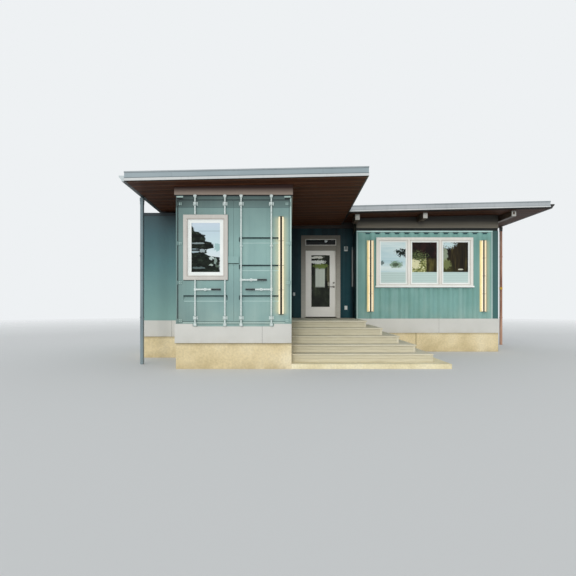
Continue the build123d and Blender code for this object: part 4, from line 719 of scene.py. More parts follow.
LOOK = {
    "container": container_paint("container_teal", "7A9897", "8AABA7", "5F7E80", end_painted_light),
    "container_right": container_paint("container_teal_long_side", "6F9D96", "81AEA9", "588480",
                                       long_side_painted_light),
    "container_shade": porch_wall_paint_and_shade(),
    "trim": container_paint("edge_trim_teal", "A2BDB8", "B8D0CA", "829F9B"),
    "rail": container_paint("rail_teal", "A0BFBC", "B4D0CC", "829F9B", rail_painted_highlight),
    "panel": wing_paint_and_shade(),
    "wing_cap": sheet_paint("wing_cap_dark", "1B2428", "2A353A", 0.5),
    "zinc": zinc_coating("zinc_coated_steel", "BFCFCC", "E9F1EF"),
    "zinc_dark": zinc_coating("zinc_shaded_steel", "8FA09F", "B9C6C4"),
    "casing": casing_paint(),
    "casing_line": painted_wood("casing_shadow_line", "A1978F", "ADA49C", "Z"),
    "entry_casing": shaded_board_paint("entry_casing_greige", "716A60", "C4C1B8", (1.2, 3.5)),
    "skirt": skirt_finish(),
    "frieze": shaded_board_paint("frieze_brown_grey", "38201A", "9A8C81", (3.69, 3.82)),
    "frieze_dark": shaded_board_paint("entry_frieze_dark", "170F0A", "2C2118", (3.66, 3.85)),
    "cripple": cripple_paint_and_shade(),
    "beam": painted_wood("beam_paint_brown", "4A3C32", "5C4C40", "Y"),
    "beam_end": painted_wood("beam_end_pale", "B4B4AE", "C6C6C1"),
    "vinyl": plain_plastic("white_window_vinyl", "E6EBE9", "F2F5F3", 0.35),
    "concrete": concrete_finish("foundation_concrete", "DFCFA8", "EBDFBF", "C9B88E"),
    "pad": concrete_finish("step_pad_pale", "ECE2BE", "F6EED2", "DACDA4", 0.1),
    "deck": composite_board("deck_composite", "CBC5AF", "D8D3C0", "B8B197", "Y", DECK_PITCH,
                            DECK_FRONT),
    "nosing": composite_board("nosing_composite_pale", "D3CDB8", "DFDAC8", "C2BBA3", "Z",
                              STEP_RISE, PAD_TOP),
    "riser": composite_board("riser_composite", "C9C3AC", "D6D1BD", "B7B098", "Z", 0.07, PAD_TOP),
    "gap": plain_plastic("board_gap_and_painted_shadow", "7C745B", "8A8268", 0.8),
    "soffit": soffit_stain(),
    "soffit_gap_and_shadow": plain_plastic("soffit_gap_and_shadow_black", "050302", "0A0604", 0.8),
    "fascia": left_fascia_paint_and_shade(),
    "fascia_right": sheet_paint("fascia_grey_right", "A3A9AD", "B0B5B9", 0.4, ("X", 3.05, 4.9),
                                UNDER_EAVES),
    "fascia_lip": sheet_paint("fascia_lip_pale", "C0C4C5", "CED1D1", underside_shade=UNDER_EAVES),
    "fascia_line": sheet_paint("fascia_line_dark", "5C676C", "6B767B", 0.5),
    "roof": sheet_paint("roof_sheet_grey", "8E979B", "9EA6AA", 0.45),
    "gutter": sheet_paint("gutter_pale", "B4BEC2", "C8D0D2", 0.38, ("Y", 3.05, 0.4), "23282A"),
    "gutter_dark": sheet_paint("gutter_dark_bronze", "1B1A19", "322D29"),
    "spout": sheet_paint("downspout_grey", "6F8086", "84949A", 0.42, ("Z", 1.6, 0.3)),
    "copper": copper_spout(),
    "pane_leaf": leaf_pane_finish(),
    "pane_sky": sky_lite_finish(),
    "pane_room": room_lite_finish(),
    "pane_dark": dark_lite_finish(),
    "pane_door": door_pane_finish(),
    "pane_transom": transom_pane_finish(),
    "lens": lit_lens("light_lens_warm", "FFF0C4", "FFF7DC", 0.82),
    "lens_back": lit_lens("light_lens_wash", "FFDDB0", "FFE6C2", 3.0),
    "lens_side": lit_lens("light_lens_side", "FFDDB0", "FFE6C2", 1.0),
    "glow_plate_left": plain_plastic("painted_glow_plate_cream", "DDD09A", "E8DCAC", 0.6),
    "glow_plate_right": plain_plastic("painted_glow_plate_peach", "CFB793", "DBC5A3", 0.6),
    "bronze": plain_plastic("light_bar_dark_bronze", "0D0905", "1A120A", 0.75),
    "door": painted_wood("entry_door_white", "E9E7E1", "F3F1EC", "Z", 0.4, 0.08),
    "hardware": metal("satin_nickel", "6E6C66", "A3A19A", 0.3, 0.9),
    "threshold_and_shadow": metal("dark_bronze_and_shadow", "15110D", "2A231C", 0.5, 0.5),
    "fitting": fitting_finish(),
    "rubber_and_shadow": plain_plastic("gasket_rubber_and_shadow", "101618", "1B2325", 0.6),
    "grip": plain_plastic("handle_dip_dark", "20292B", "303A3B", 0.5),
    "notch": plain_plastic("rib_end_shadow", "14262A", "1F3539", 0.7),
    "notch_low": plain_plastic("rib_end_half_shadow", "33565A", "3F6468", 0.7),
    "pressing_highlight": plain_plastic("pressing_painted_highlight", "A6C4C0", "B6D0CC", 0.5),
    "line": plain_plastic("leaf_line_teal", "3F5B60", "4A676B", 0.6),
    "framing": painted_wood("sawn_framing", "9A7A52", "B08F66", rough=0.75),
    "floor": painted_wood("floor_panels_sealed", "8C7355", "A0876A", rough=0.4),
    "inside": plain_plastic("lining_paint", "C9C8C2", "D6D5CF", 0.6),
}

NODE_LOOKS = {
    "container": "left_end_frame left_west_wall left_east_wall left_back_wall cargo_leaf_left "
                 "cargo_leaf_right lock_box cargo_hinges",
    "container_right": "right_front_wall right_east_wall right_back_wall",
    "container_shade": "entry_wall_left entry_wall_right entry_wall_over entry_wall_side "
                       "entry_back_wall",
    "rail": "right_edge_trim",
    "panel": "wing_walls",
    "zinc": "locking_bars bar_guides bar_handles bar_keepers",
    "casing": "window_casings",
    "entry_casing": "entry_door_casing entry_door_frame",
    "skirt": "skirt_boards",
    "frieze": "left_frieze",
    "frieze_dark": "entry_frieze",
    "cripple": "right_cripple",
    "beam": "right_beams",
    "vinyl": "window_frames",
    "concrete": "stem_wall_left stem_wall_right stem_wall_wing",
    "pad": "step_pad",
    "soffit_gap_and_shadow": "soffit_boards",
    "fascia": "left_fascia",
    "fascia_right": "right_fascia",
    "roof": "roof_decks wing_roof",
    "gutter": "left_gutter",
    "gutter_dark": "right_gutter",
    "spout": "left_downspout",
    "copper": "right_downspout",
    "pane_leaf": "window_glass",
    "pane_door": "entry_door_glass",
    "pane_transom": "transom_glass",
    "door": "entry_door_leaf",
    "hardware": "entry_lockset entry_hinges",
    "fitting": "porch_fittings",
    "framing": "left_rafters step_stringers",
    "floor": "floor_panels",
    "inside": "ceiling_panels",
    "lens": "wall_lights",
    "deck": "porch_deck step_treads step_platform",
    "riser": "step_risers",
}


def paint_nodes():
    """Gives every CAD node its finish."""
    for look, names in NODE_LOOKS.items():
        for name in names.split():
            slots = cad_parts[name].data.materials
            slots.clear()
            slots.append(LOOK[look])


def object_of(name, mesh):
    """Object of a mesh, a lamp or a camera, linked to the scene."""
    obj = bpy.data.objects.new(name, mesh)
    bpy.context.scene.collection.objects.link(obj)
    return obj


def solid(bm, look=None):
    """Part of a bmesh, with its faces turned outwards, in one finish."""
    bmesh.ops.recalc_face_normals(bm, faces=bm.faces)
    mesh = bpy.data.meshes.new("part")
    bm.to_mesh(mesh)
    bm.free()
    if look:
        mesh.materials.append(LOOK[look])
    return object_of("part", mesh)


def add_box(bm, low, high, soft=0.0, lift=None):
    """Box between two corners with softened edges; lift moves each corner up."""
    corners = bmesh.ops.create_cube(bm, size=1.0)["verts"]
    for vert in corners:
        vert.co = Vector([low[i] + (vert.co[i] + 0.5) * (high[i] - low[i]) for i in range(3)])
    if soft:
        edges = {edge for vert in corners for edge in vert.link_edges}
        made = bmesh.ops.bevel(bm, geom=list(edges), offset=soft, segments=2, profile=0.5,
                               affect="EDGES", clamp_overlap=True)
        corners = {vert for face in made["faces"] for vert in face.verts} | {
            vert for vert in corners if vert.is_valid}
    if lift:
        for vert in corners:
            vert.co.z += lift(vert.co.x, vert.co.y)


def boxes(spans, look=None, soft=0.0, lift=None):
    """One part of several softened boxes."""
    bm = bmesh.new()
    for low, high in spans:
        add_box(bm, low, high, soft, lift)
    return solid(bm, look)


def add_rod(bm, start, end, radius, sides):
    """Closed round rod between two points."""
    start, end = Vector(start), Vector(end)
    along = end - start
    turn = along.to_track_quat("Z", "Y").to_matrix().to_4x4()
    turn.translation = (start + end) / 2
    bmesh.ops.create_cone(bm, cap_ends=True, segments=sides, radius1=radius, radius2=radius,
                          depth=along.length, matrix=turn)


def rods(lines, look, radius, sides):
    """One part of several round rods."""
    bm = bmesh.new()
    for start, end in lines:
        add_rod(bm, start, end, radius, sides)
    return solid(bm, look)


def add_ring(bm, x, z, y, wall, soft):
    """Flat rectangular frame in the XZ plane, of four bars."""
    for low, high in (((x[0], y[0], z[0]), (x[0] + wall, y[1], z[1])),
                      ((x[1] - wall, y[0], z[0]), (x[1], y[1], z[1])),
                      ((x[0] + wall, y[0], z[0]), (x[1] - wall, y[1], z[0] + wall)),
                      ((x[0] + wall, y[0], z[1] - wall), (x[1] - wall, y[1], z[1]))):
        add_box(bm, low, high, soft)


def hex_bolt(radius, height):
    """Hexagon head on a washer, its top along +Z."""
    bm = bmesh.new()
    add_rod(bm, (0, 0, 0), (0, 0, height * 0.3), radius * 1.5, 14)
    add_rod(bm, (0, 0, height * 0.3), (0, 0, height), radius, 6)
    return solid(bm)


def screw_head(radius, height):
    """Low domed screw head along +Z."""
    bm = bmesh.new()
    bmesh.ops.create_uvsphere(bm, u_segments=10, v_segments=6, radius=radius)
    for vert in bm.verts:
        vert.co.z = max(vert.co.z, -0.1 * radius) * height / radius
    return solid(bm)


def repeat_tree(name, **sockets):
    """Node group with its inputs, that sets a piece at points and gives it its finish."""
    tree = bpy.data.node_groups.new(name, "GeometryNodeTree")
    for label, kind in sockets.items():
        tree.interface.new_socket(label, in_out="INPUT", socket_type="NodeSocket" + kind)
    tree.interface.new_socket("Mesh", in_out="OUTPUT", socket_type="NodeSocketGeometry")
    given, info, setting, real, paint, out = [tree.nodes.new(kind) for kind in (
        "NodeGroupInput", "GeometryNodeObjectInfo", "GeometryNodeInstanceOnPoints",
        "GeometryNodeRealizeInstances", "GeometryNodeSetMaterial", "NodeGroupOutput")]
    wire(tree, (given, "Piece", info, "Object"), (info, "Geometry", setting, "Instance"),
         (setting, 0, real, 0), (real, 0, paint, "Geometry"), (given, "Finish", paint, "Material"),
         (paint, 0, out, "Mesh"))
    return tree, given, setting


def points_tree():
    """Node group that sets one piece at every point, turned and jittered as asked."""
    tree, given, setting = repeat_tree("set_at_points", Points="Geometry", Piece="Object",
                                       Turn="Rotation", Spin="Float", Seed="Int", Finish="Material")
    low, high, back, spin, jitter, both = [tree.nodes.new(kind) for kind in (
        "ShaderNodeCombineXYZ", "ShaderNodeCombineXYZ", "ShaderNodeMath", "FunctionNodeRandomValue",
        "FunctionNodeEulerToRotation", "FunctionNodeRotateRotation")]
    back.operation = "MULTIPLY"
    back.inputs[1].default_value = -1.0
    spin.data_type = "FLOAT_VECTOR"
    both.rotation_space = "LOCAL"
    wire(tree, (given, "Spin", high, "Z"), (given, "Spin", back, 0), (back, 0, low, "Z"),
         (low, 0, spin, "Min"), (high, 0, spin, "Max"), (given, "Seed", spin, "Seed"),
         (spin, "Value", jitter, 0), (given, "Turn", both, "Rotation"),
         (jitter, 0, both, "Rotate By"),
         (given, "Points", setting, "Points"), (both, 0, setting, "Rotation"))
    return tree


def row_tree():
    """Node group that sets one piece along a straight row, a count of times."""
    tree, given, setting = repeat_tree("set_in_row", Base="Geometry", Piece="Object", Count="Int",
                                       Start="Vector", Step="Vector", Finish="Material")
    line = tree.nodes.new("GeometryNodeMeshLine")
    line.mode = "OFFSET"
    wire(tree, (given, "Count", line, "Count"), (given, "Start", line, "Start Location"),
         (given, "Step", line, "Offset"), (line, 0, setting, "Points"))
    return tree


AT_POINTS = points_tree()
IN_ROW = row_tree()


def grow(tree, points, look, pattern, **inputs):
    """Runs a node group on some points, keeps the plain mesh and removes the pattern."""
    mesh = bpy.data.meshes.new("points")
    mesh.from_pydata(points, [], [])
    base = object_of("base", mesh)
    modifier = base.modifiers.new("repeat", "NODES")
    modifier.node_group = tree
    inputs.update(Piece=pattern, Finish=LOOK[look])
    for item in tree.interface.items_tree:
        if item.in_out == "INPUT" and item.name in inputs:
            modifier[item.identifier] = inputs[item.name]
    graph = bpy.context.evaluated_depsgraph_get()
    plain = bpy.data.meshes.new_from_object(base.evaluated_get(graph), depsgraph=graph)
    base.modifiers.remove(modifier)
    bpy.data.objects.remove(base)
    bpy.data.objects.remove(pattern)
    return object_of("part", plain)


def row(pattern, count, start, step, look):
    """The pattern a count of times, each a step on from the one before."""
    return grow(IN_ROW, [(0, 0, 0)], look, pattern, Count=count, Start=start, Step=step)


def scatter(pattern, points, look, spin, seed):
    """The pattern at every point, turned to the front."""
    return grow(AT_POINTS, points, look, pattern, Turn=FACING_FRONT, Spin=spin, Seed=seed)


def piece(name, parts, slot, *replaced):
    """Joins parts into one piece of the cabin; it may stand for CAD nodes.

    A part is an object, or a finish with its boxes and their softened edge."""
    bm = bmesh.new()
    materials = []
    for part in parts:
        if isinstance(part, tuple):
            look, spans, soft = part
            part = boxes(spans, look, soft)
        first = len(bm.faces)
        bm.from_mesh(part.data)
        bm.faces.ensure_lookup_table()
        for face in bm.faces[first:]:
            face.material_index += len(materials)
        materials.extend(part.data.materials)
        bpy.data.objects.remove(part)
    mesh = bpy.data.meshes.new(name)
    bm.to_mesh(mesh)
    bm.free()
    for material in materials:
        mesh.materials.append(material)
    obj = object_of(name, mesh)
    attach(obj, CABIN)
    if replaced:
        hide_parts(*replaced)


def roof_height(side, up=0.0):
    """Height of a roof's underside over any point, raised by a step."""
    base, rise = ROOFS[side]
    corner = BOX[side + "_fascia"][0]
    return lambda x, y: base + up + rise[0] * (x - corner.x) + rise[1] * (y - corner.y)


def soffit_lining():
    """Grooved boards under both roofs, laid along the front and left out over the module."""
    parts = []

    def rows(side, ends, start_y, count):
        rise = ROOFS[side][1]
        board = (0, 0, -0.007), (ends[1] - ends[0], SOFFIT_PITCH - 0.006, 0.006)
        pattern = boxes([board], None, 0.003, lambda x, y: rise[0] * x + rise[1] * y)
        start = (ends[0], start_y, roof_height(side)(ends[0], start_y))
        step = (0, SOFFIT_PITCH, rise[1] * SOFFIT_PITCH)
        parts.append(row(pattern, count, start, step, "soffit"))

    for side in ROOFS:
        low, high = BOX[side + "_fascia"]
        x = (low.x + FASCIA_T, high.x - FASCIA_T)
        front = low.y + LIP_T + FASCIA_T
        spans = [x]
        if side == "left":
            module_low, module_high = BOX["left_end_frame"]
            overhang = math.ceil((BOX["left_frieze"][0].y - front) / SOFFIT_PITCH)
            rows(side, x, front, overhang)
            front += overhang * SOFFIT_PITCH
            spans = [(x[0], module_low.x), (module_high.x, x[1])]
        for span in spans:
            rows(side, span, front, int((high.y - FASCIA_T - front) / SOFFIT_PITCH))
    piece("soffit_lining_boards", parts, "soffit_board")


def roof_seams():
    """Standing seams on both roofs and a drip edge round them."""
    parts = []
    for side, (_, rise) in ROOFS.items():
        low, high = BOX[side + "_fascia"]
        y = (low.y + LIP_T, high.y)
        top = roof_height(side, FASCIA_H)
        pattern = boxes([((-0.008, 0.1, 0), (0.008, y[1] - y[0] - 0.05, 0.028))], None, 0.003,
                        lambda px, py: rise[0] * px + rise[1] * py)
        count = int((high.x - low.x - 0.2) / SEAM_PITCH)
        first = low.x + (high.x - low.x - (count - 1) * SEAM_PITCH) / 2
        parts.append(row(pattern, count, (first, y[0], top(first, y[0])),
                         (SEAM_PITCH, 0, SEAM_PITCH * rise[0]), "roof"))
        edge = 0.006
        parts.append(boxes([
            ((low.x - edge, y[0] - edge, -0.022), (high.x + edge, y[0] + 0.06, 0.005)),
            ((low.x - edge, y[1] - 0.06, -0.022), (high.x + edge, y[1] + edge, 0.005)),
            ((low.x - edge, y[0], -0.022), (low.x + 0.06, y[1], 0.005)),
            ((high.x - 0.06, y[0], -0.022), (high.x + edge, y[1], 0.005))], "roof", 0.0015, top))
    piece("roof_seams_and_drip_edge", parts, "roof_sheet")


def fascia_bands():
    """Pale lower band of each front fascia, the thin dark lines folded over it, and a painted
    shadow strip under it.
    """
    parts = []
    for side, foot, head in (("left", 0.003, 0.057), ("right", 0.030, 0.066)):
        low, high = BOX[side + "_fascia"]
        # First a painted shadow strip under the lip, in the soffit gap's black.
        for look, bottom, top, proud in (("soffit_gap_and_shadow", -0.003, foot, 0.002),
                                         ("fascia_lip", foot + 0.001, head, 0.003),
                                         ("fascia_line", head + 0.001, 0.076, -0.0145),
                                         ("fascia_line", 0.166, 0.174, -0.0145)):
            parts.append(boxes([((low.x - 0.001, low.y - proud, bottom),
                                 (high.x + 0.001, low.y + LIP_T + 0.002, top))], look, 0.0008,
                               roof_height(side)))
    piece("fascia_front_bands", parts, "fascia_paint")


def around(x, y, half_x, half_y, bottom, top):
    """Box centred on an upright line."""
    return (x - half_x, y - half_y, bottom), (x + half_x, y + half_y, top)


def gutter_fittings():
    """Hangers across both gutters, and the outlet sleeves and clips of the downspouts."""
    hangers = []
    for node, look, fall, count in (("left_gutter", "zinc", -FALL_Y, 11),
                                    ("right_gutter", "gutter_dark", 0.0, 6)):
        low, high = BOX[node]
        pattern = boxes([((0, 0, -0.003), (high.x - low.x - 0.006, 0.022, 0.003)),
                         ((0, 0, -0.026), (0.004, 0.022, 0.003))], None, 0.001)
        start = (low.x + 0.003, low.y + 0.12, high.z - 0.004 + 0.12 * fall)
        hangers.append(row(pattern, count, start, (0, HANGER_PITCH, HANGER_PITCH * fall), look))
    piece("gutter_hangers", hangers, "gutter_paint")

    outlets, clips = [], []
    for node, sleeve, look, heights in (("left_downspout", "spout", "spout", (1.05, 2.45)),
                                        ("right_downspout", "gutter_dark", "copper", (0.9, 2.95))):
        low, high = BOX[node]
        x, y = (low.x + high.x) / 2, (low.y + high.y) / 2
        outlets.append((sleeve, [around(x, y, 0.041, 0.051, high.z - 0.085, high.z - 0.002),
                                 around(x, y, 0.0375, 0.0475, high.z - 0.15, high.z - 0.083)],
                        0.006))
        for z in heights:
            clips.append((look, [around(x, y, 0.038, 0.048, z, z + 0.03),
                                 around(x, y, 0.006, 0.058, z + 0.006, z + 0.024)], 0.002))
    piece("downspout_outlets", outlets, "gutter_paint")
    piece("downspout_clips", clips, "gutter_paint")


def beam_ends():
    """Pale end boards on the three eave beams, the last with a dark slot."""
    front = BOX["right_beams"][0].y
    soffit = roof_height("right")
    pale = []
    for x in BEAMS:
        top = soffit(x, front)
        pale.append(((x - 0.060, front - 0.012, top - 0.157),
                     (x + 0.060, front + 0.004, top - 0.006)))
    dark = [((x - 0.030, front - 0.014, top - 0.110), (x + 0.022, front - 0.006, top - 0.030))]
    piece("beam_end_boards", [("beam_end", pale, 0.003), ("beam", dark, 0.002)], "beam_paint")


def wing_flashing():
    """Folded cap along the top of the wing's front and side."""
    low, high = BOX["wing_walls"]
    foot = (low.x - 0.006, low.y - 0.008, -0.075)
    sides = [(foot, (high.x, low.y + 0.006, 0.004)),
             (foot, (low.x + 0.006, high.y + 0.006, 0.004))]
    cap = boxes(sides, "wing_cap", 0.002, lambda x, y: WING_TOP - FALL_Y * (y - low.y))
    piece("wing_cap_flashing", [cap], "flat_panel")


def board_row(x, y, top, thick, count, deep=False):
    """Boards with gaps between them, laid along X, or along Y where they run deep."""
    length, width = x[1] - x[0], y[1] - y[0]
    if deep:
        pitch = (length + BOARD_GAP) / count
        size, step = (pitch - BOARD_GAP, width, 0), (pitch, 0, 0)
    else:
        pitch = (width + BOARD_GAP) / count
        size, step = (length, pitch - BOARD_GAP, 0), (0, pitch, 0)
    pattern = boxes([((0, 0, -thick), size)], None, 0.003)
    return row(pattern, count, (x[0], y[0], top), step, "deck")


def nosing(front, right, top, thick, back):
    """Pale edge of one level along its front and its right side."""
    foot, head = top - thick, top - 0.0015
    return "nosing", [((STEP_LEFT, front - 0.003, foot), (right + 0.003, front + 0.010, head)),
                      ((right - 0.010, front + 0.010, foot), (right + 0.003, back, head))], 0.003


def deck_boards():
    """Deck boards, their pale edge and the boards in the entry bay."""
    low, high = BOX["porch_deck"]
    wall = BOX["right_front_wall"][0]
    piece("deck_boards", [
        board_row((low.x, high.x - 0.012), (low.y + 0.012, wall.y - 0.024), high.z, DECK_T, 12),
        board_row((low.x, wall.x - 0.002), (wall.y - 0.020, high.y), high.z, DECK_T, 5),
        nosing(low.y, high.x, high.z, DECK_T, wall.y - 0.024)], "deck_board", "porch_deck")


def tread(above, level):
    """Three boards along the front of a level, two along its side, and its pale edge."""
    front, right, top = level
    under = above[0] + NOSE
    side = (above[1] - NOSE, right - 0.012), (under + BOARD_GAP, STEPS_BACK)
    return [board_row((STEP_LEFT, right - 0.012), (front + 0.012, under), top, TREAD_T, 3),
            board_row(*side, top, TREAD_T, 2, True),
            nosing(front, right, top, TREAD_T, STEPS_BACK)]


def tread_boards():
    """Boards of the three treads."""
    parts = []
    for above, level in zip(LEVELS[:3], LEVELS[1:4]):
        parts += tread(above, level)
    piece("tread_boards", parts, "deck_board", "step_treads")


def face_boards(y, x, thick, end, bottom, top):
    """Two boards over each other, on the front and on the right side of a level."""
    middle = (bottom + top) / 2
    boards = []
    for low, high in ((bottom, middle - RISER_GAP / 2), (middle + RISER_GAP / 2, top - 0.004)):
        boards.append(((STEP_LEFT, y, low), (x - end, y + thick, high)))
        boards.append(((x - thick, y + thick, low), (x, STEPS_BACK, high)))
    return boards


def riser_boards():
    """Two boards on each riser, their end trims and a painted shadow line under each nosing."""
    faces, trims, shade = [], [], []
    for above, level in zip(LEVELS, LEVELS[1:]):
        thick = DECK_T if above is LEVELS[0] else TREAD_T
        y, x = above[0] + NOSE, above[1] - NOSE
        top, bottom = above[2] - thick, level[2]
        faces += face_boards(y, x, 0.020, 0.045, bottom, top)
        trims.append(((x - 0.045, y - 0.004, bottom), (x + 0.003, y + 0.018, top - 0.002)))
        # Painted shadow under the nosing.
        shade.append(((STEP_LEFT, y + 0.006, bottom), (x - 0.006, y + 0.017, top)))
        shade.append(((x - 0.017, y + 0.006, bottom), (x - 0.006, STEPS_BACK, top)))
    piece("riser_boards", [("riser", faces, 0.003), ("nosing", trims, 0.004), ("gap", shade, 0.0)],
          "deck_board", "step_risers")


def platform_boards():
    """Boards round and over the lowest platform, on a dark core."""
    front, right, top = LEVELS[4]
    core = [((STEP_LEFT, front + 0.014, PAD_TOP), (right - 0.014, STEPS_BACK, top - 0.031))]
    faces = face_boards(front + 0.006, right - 0.006, 0.016, 0.0, PAD_TOP, top - TREAD_T)
    parts = tread(LEVELS[3], LEVELS[4]) + [("gap", core, 0.0), ("riser", faces, 0.003)]
    piece("platform_boards", parts, "deck_board", "step_platform")


def door_gaskets():
    """Rubber seals round the cargo leaves, seen as thin lines."""
    spans = [((-1.190, -0.080, 0.995), (-1.174, -0.05, 3.560)),
             ((1.167, -0.077, 0.995), (1.173, -0.05, 3.560))]
    for name in ("cargo_leaf_left", "cargo_leaf_right"):
        low, high = BOX[name]
        for bottom, top in ((high.z - 0.006, high.z + 0.010), (low.z - 0.006, low.z + 0.002)):
            spans.append(((low.x + 0.003, low.y - 0.003, bottom),
                          (high.x - 0.003, low.y + 0.02, top)))
    piece("cargo_door_gaskets", [("rubber_and_shadow", spans, 0.001)], "module_steel")


def pressing_painted_light():
    """Painted shadow at the head of every pressing in the cargo leaves and at its end, and a
    painted highlight under it.
    """
    spans, painted_fold_light = [], []
    for x, tops, end, depth in (((0.133, 1.056), (2.777, 2.197, 1.552), 0.111, (-0.077, -0.060)),
                                ((-1.056, -0.133), (1.552,), -0.142, (-0.070, -0.036))):
        for top in tops:
            # Painted shadow under the ledge and at its end.
            spans.append(((x[0], -0.062, top - 0.022), (x[1], -0.037, top - 0.001)))
            spans.append(((end, depth[0], top - 0.095), (end + 0.016, depth[1], top - 0.004)))
            # Painted highlight under the pressing.
            painted_fold_light.append(((x[0] + 0.012, -0.079, top - 0.133),
                          (x[1] - 0.002, -0.070, top - 0.117)))
    piece("pressing_ledges", [("notch", spans, 0.001), ("pressing_highlight", painted_fold_light, 0.004)], "module_steel")


def end_frame_trim():
    """Lines over the cargo doors, the corner plates, painted highlights on the sill rail's face and
    the right edge, and painted shadow under the frieze, under the corner plates and at the foot of
    the leaves.
    """
    face = LEAF_FACE
    # Painted highlights on the sill rail's face and on the right edge.
    pale = [((-1.075, face - 0.003, 0.958), (1.075, face + 0.01, 0.983)),
            ((1.190, face - 0.003, 1.0), (1.216, face + 0.01, 3.60))]
    foot = [((-1.247, face - 0.028, 3.667), (1.247, face + 0.004, 3.681))]
    # Painted shadow under the frieze and at the foot of the leaves.
    dark = [((-1.247, face - 0.022, 3.645), (1.247, face + 0.004, 3.667)),
            ((-1.075, face - 0.002, 0.944), (1.075, face + 0.01, 0.952))]
    line = [((-1.166, face - 0.002, 3.398), (1.166, face + 0.01, 3.404))]
    for x in ((-1.204, -1.066), (1.066, 1.204)):
        pale.append(((x[0], face - 0.013, 3.612), (x[1], face - 0.008, 3.655)))
        # Painted shadow under each corner plate.
        dark.append(((x[0] + 0.01, face - 0.004, 3.575), (x[1] - 0.01, face + 0.004, 3.603)))
    piece("end_frame_lines", [("trim", pale, 0.002), ("rubber_and_shadow", dark, 0.001), ("line", line, 0.001),
                              ("frieze", foot, 0.001)], "trim_steel")


def gear_bolts():
    """Bolts on the bar guides, the keepers and the hinges."""

    def bolts(name, points, look, seed, slot):
        piece(name, [scatter(hex_bolt(0.0075, 0.008), points, look, 0.5, seed)], slot)

    points = []
    for x in BARS:
        points += [(x + dx, -0.083, z + dz) for z in GUIDE_HEIGHTS for dx in (-0.038, 0.038)
                   for dz in (-0.022, 0.022)]
        points += [(x + dx, -0.083, z) for dx in (-0.026, 0.026) for z in KEEPER_HEIGHTS]
    bolts("gear_bolts", points, "zinc", 11, "galvanised")
    points = [(side * x, -0.087, z + dz) for side in (-1, 1) for z in HINGE_HEIGHTS
              for x in (1.106, 1.140) for dz in (-0.016, 0.016)]
    bolts("hinge_bolts", points, "trim", 12, "module_steel")


def handle_grips():
    """Dark dipped grips over the ends of the three handles, and the hasp pins by them."""
    spans, pins = [], []
    for x, z, direction in HANDLES:
        ends = sorted((x + direction * (HANDLE_L - 0.203), x + direction * (HANDLE_L + 0.002)))
        spans.append(((ends[0], -0.1495, z - 0.0215), (ends[1], -0.1285, z + 0.0215)))
        at = x + direction * 0.212
        pins.append(((at, -0.150, z), (at, -0.120, z)))
    piece("handle_grips", [("grip", spans, 0.009), rods(pins, "zinc_dark", 0.008, 12)],
          "galvanised")


def bar_rings():
    """Dark bushes where the locking bars pass their guides and keepers."""
    spans = [((x, BAR_Y, z + end), (x, BAR_Y, z + end + 0.006))
             for x in BARS for z in GUIDE_HEIGHTS for end in (-0.041, 0.035)]
    piece("bar_bushes", [rods(spans, "rubber_and_shadow", 0.0215, 20)], "galvanised")


def casing_beads():
    """Painted shadow lines under the casings and round the lock box, and the ledge of the sill."""
    # Painted shadow lines, in the rubber's black.
    spans = [((-1.061, -0.083, 1.864), (-0.123, -0.07, 1.8755)),
             ((-0.124, -0.083, 1.870), (-0.114, -0.07, 3.250)),
             ((-0.1115, -0.081, 2.2165), (0.1115, -0.07, 2.2275)),
             ((3.654, 3.537, 1.841), (6.492, 3.55, 1.852)),
             ((6.469, 3.535, 1.851), (6.479, 3.55, 3.291))]
    sill = [((3.652, 3.492, 1.884), (6.494, 3.515, 1.899)),
            ((3.652, 3.491, 1.8505), (6.494, 3.50, 1.886))]
    piece("casing_beads", [("rubber_and_shadow", spans, 0.001), ("vinyl", sill, 0.002)], "casing_paint")


def casing_inner_line():
    """Raised inner line of both casings, a step behind their faces, in a painted shadow tone."""
    bm = bmesh.new()
    add_ring(bm, (-0.985, -0.199), (1.951, 3.172), (-0.106, -0.099), 0.007, 0.001)
    for x in LITE_SPANS:
        add_ring(bm, (x[0] - 0.060, x[1] + 0.060), (1.928, 3.214), (3.513, 3.520), 0.006, 0.001)
    piece("casing_inner_line", [solid(bm, "casing_line")], "casing_paint")


def rib_end_notches():
    """Painted shadow in the closed ends of the pressed ribs, under the top rail of the long side.
    """
    parts = []
    for half, front, levels, look in ((0.088, 3.5475, (3.424, 3.4425), "notch"),
                                      (0.060, 3.556, (3.392, 3.424), "notch_low")):
        bm = bmesh.new()
        outline = [(-half, front), (half, front), (0.032, 3.577), (-0.032, 3.577)]
        rings = [[bm.verts.new((x, y, z)) for x, y in outline] for z in levels]
        bm.faces.new(rings[0])
        bm.faces.new(rings[1][::-1])
        for index in range(4):
            after = (index + 1) % 4
            bm.faces.new((rings[0][index], rings[1][index], rings[1][after], rings[0][after]))
        parts.append(row(solid(bm), RECESSES, (FIRST_RECESS_X, 0, 0), (RIB_PITCH, 0, 0), look))
    piece("rib_end_notches", parts, "trim_steel")


def long_side_lines():
    """Shadow lines along the rails of the long side and at its corner strip."""
    dark = [((3.107, 3.5345, 3.436), (7.037, 3.548, 3.4425)),
            ((3.1525, 3.5365, 0.90), (3.159, 3.548, 3.436)),
            ((7.036, 3.5355, 0.90), (7.042, 3.548, 3.487))]
    pale = [((3.107, 3.5335, 3.480), (7.037, 3.54, 3.487))]
    piece("long_side_lines", [("notch", dark, 0.001), ("rail", pale, 0.001)], "trim_steel")


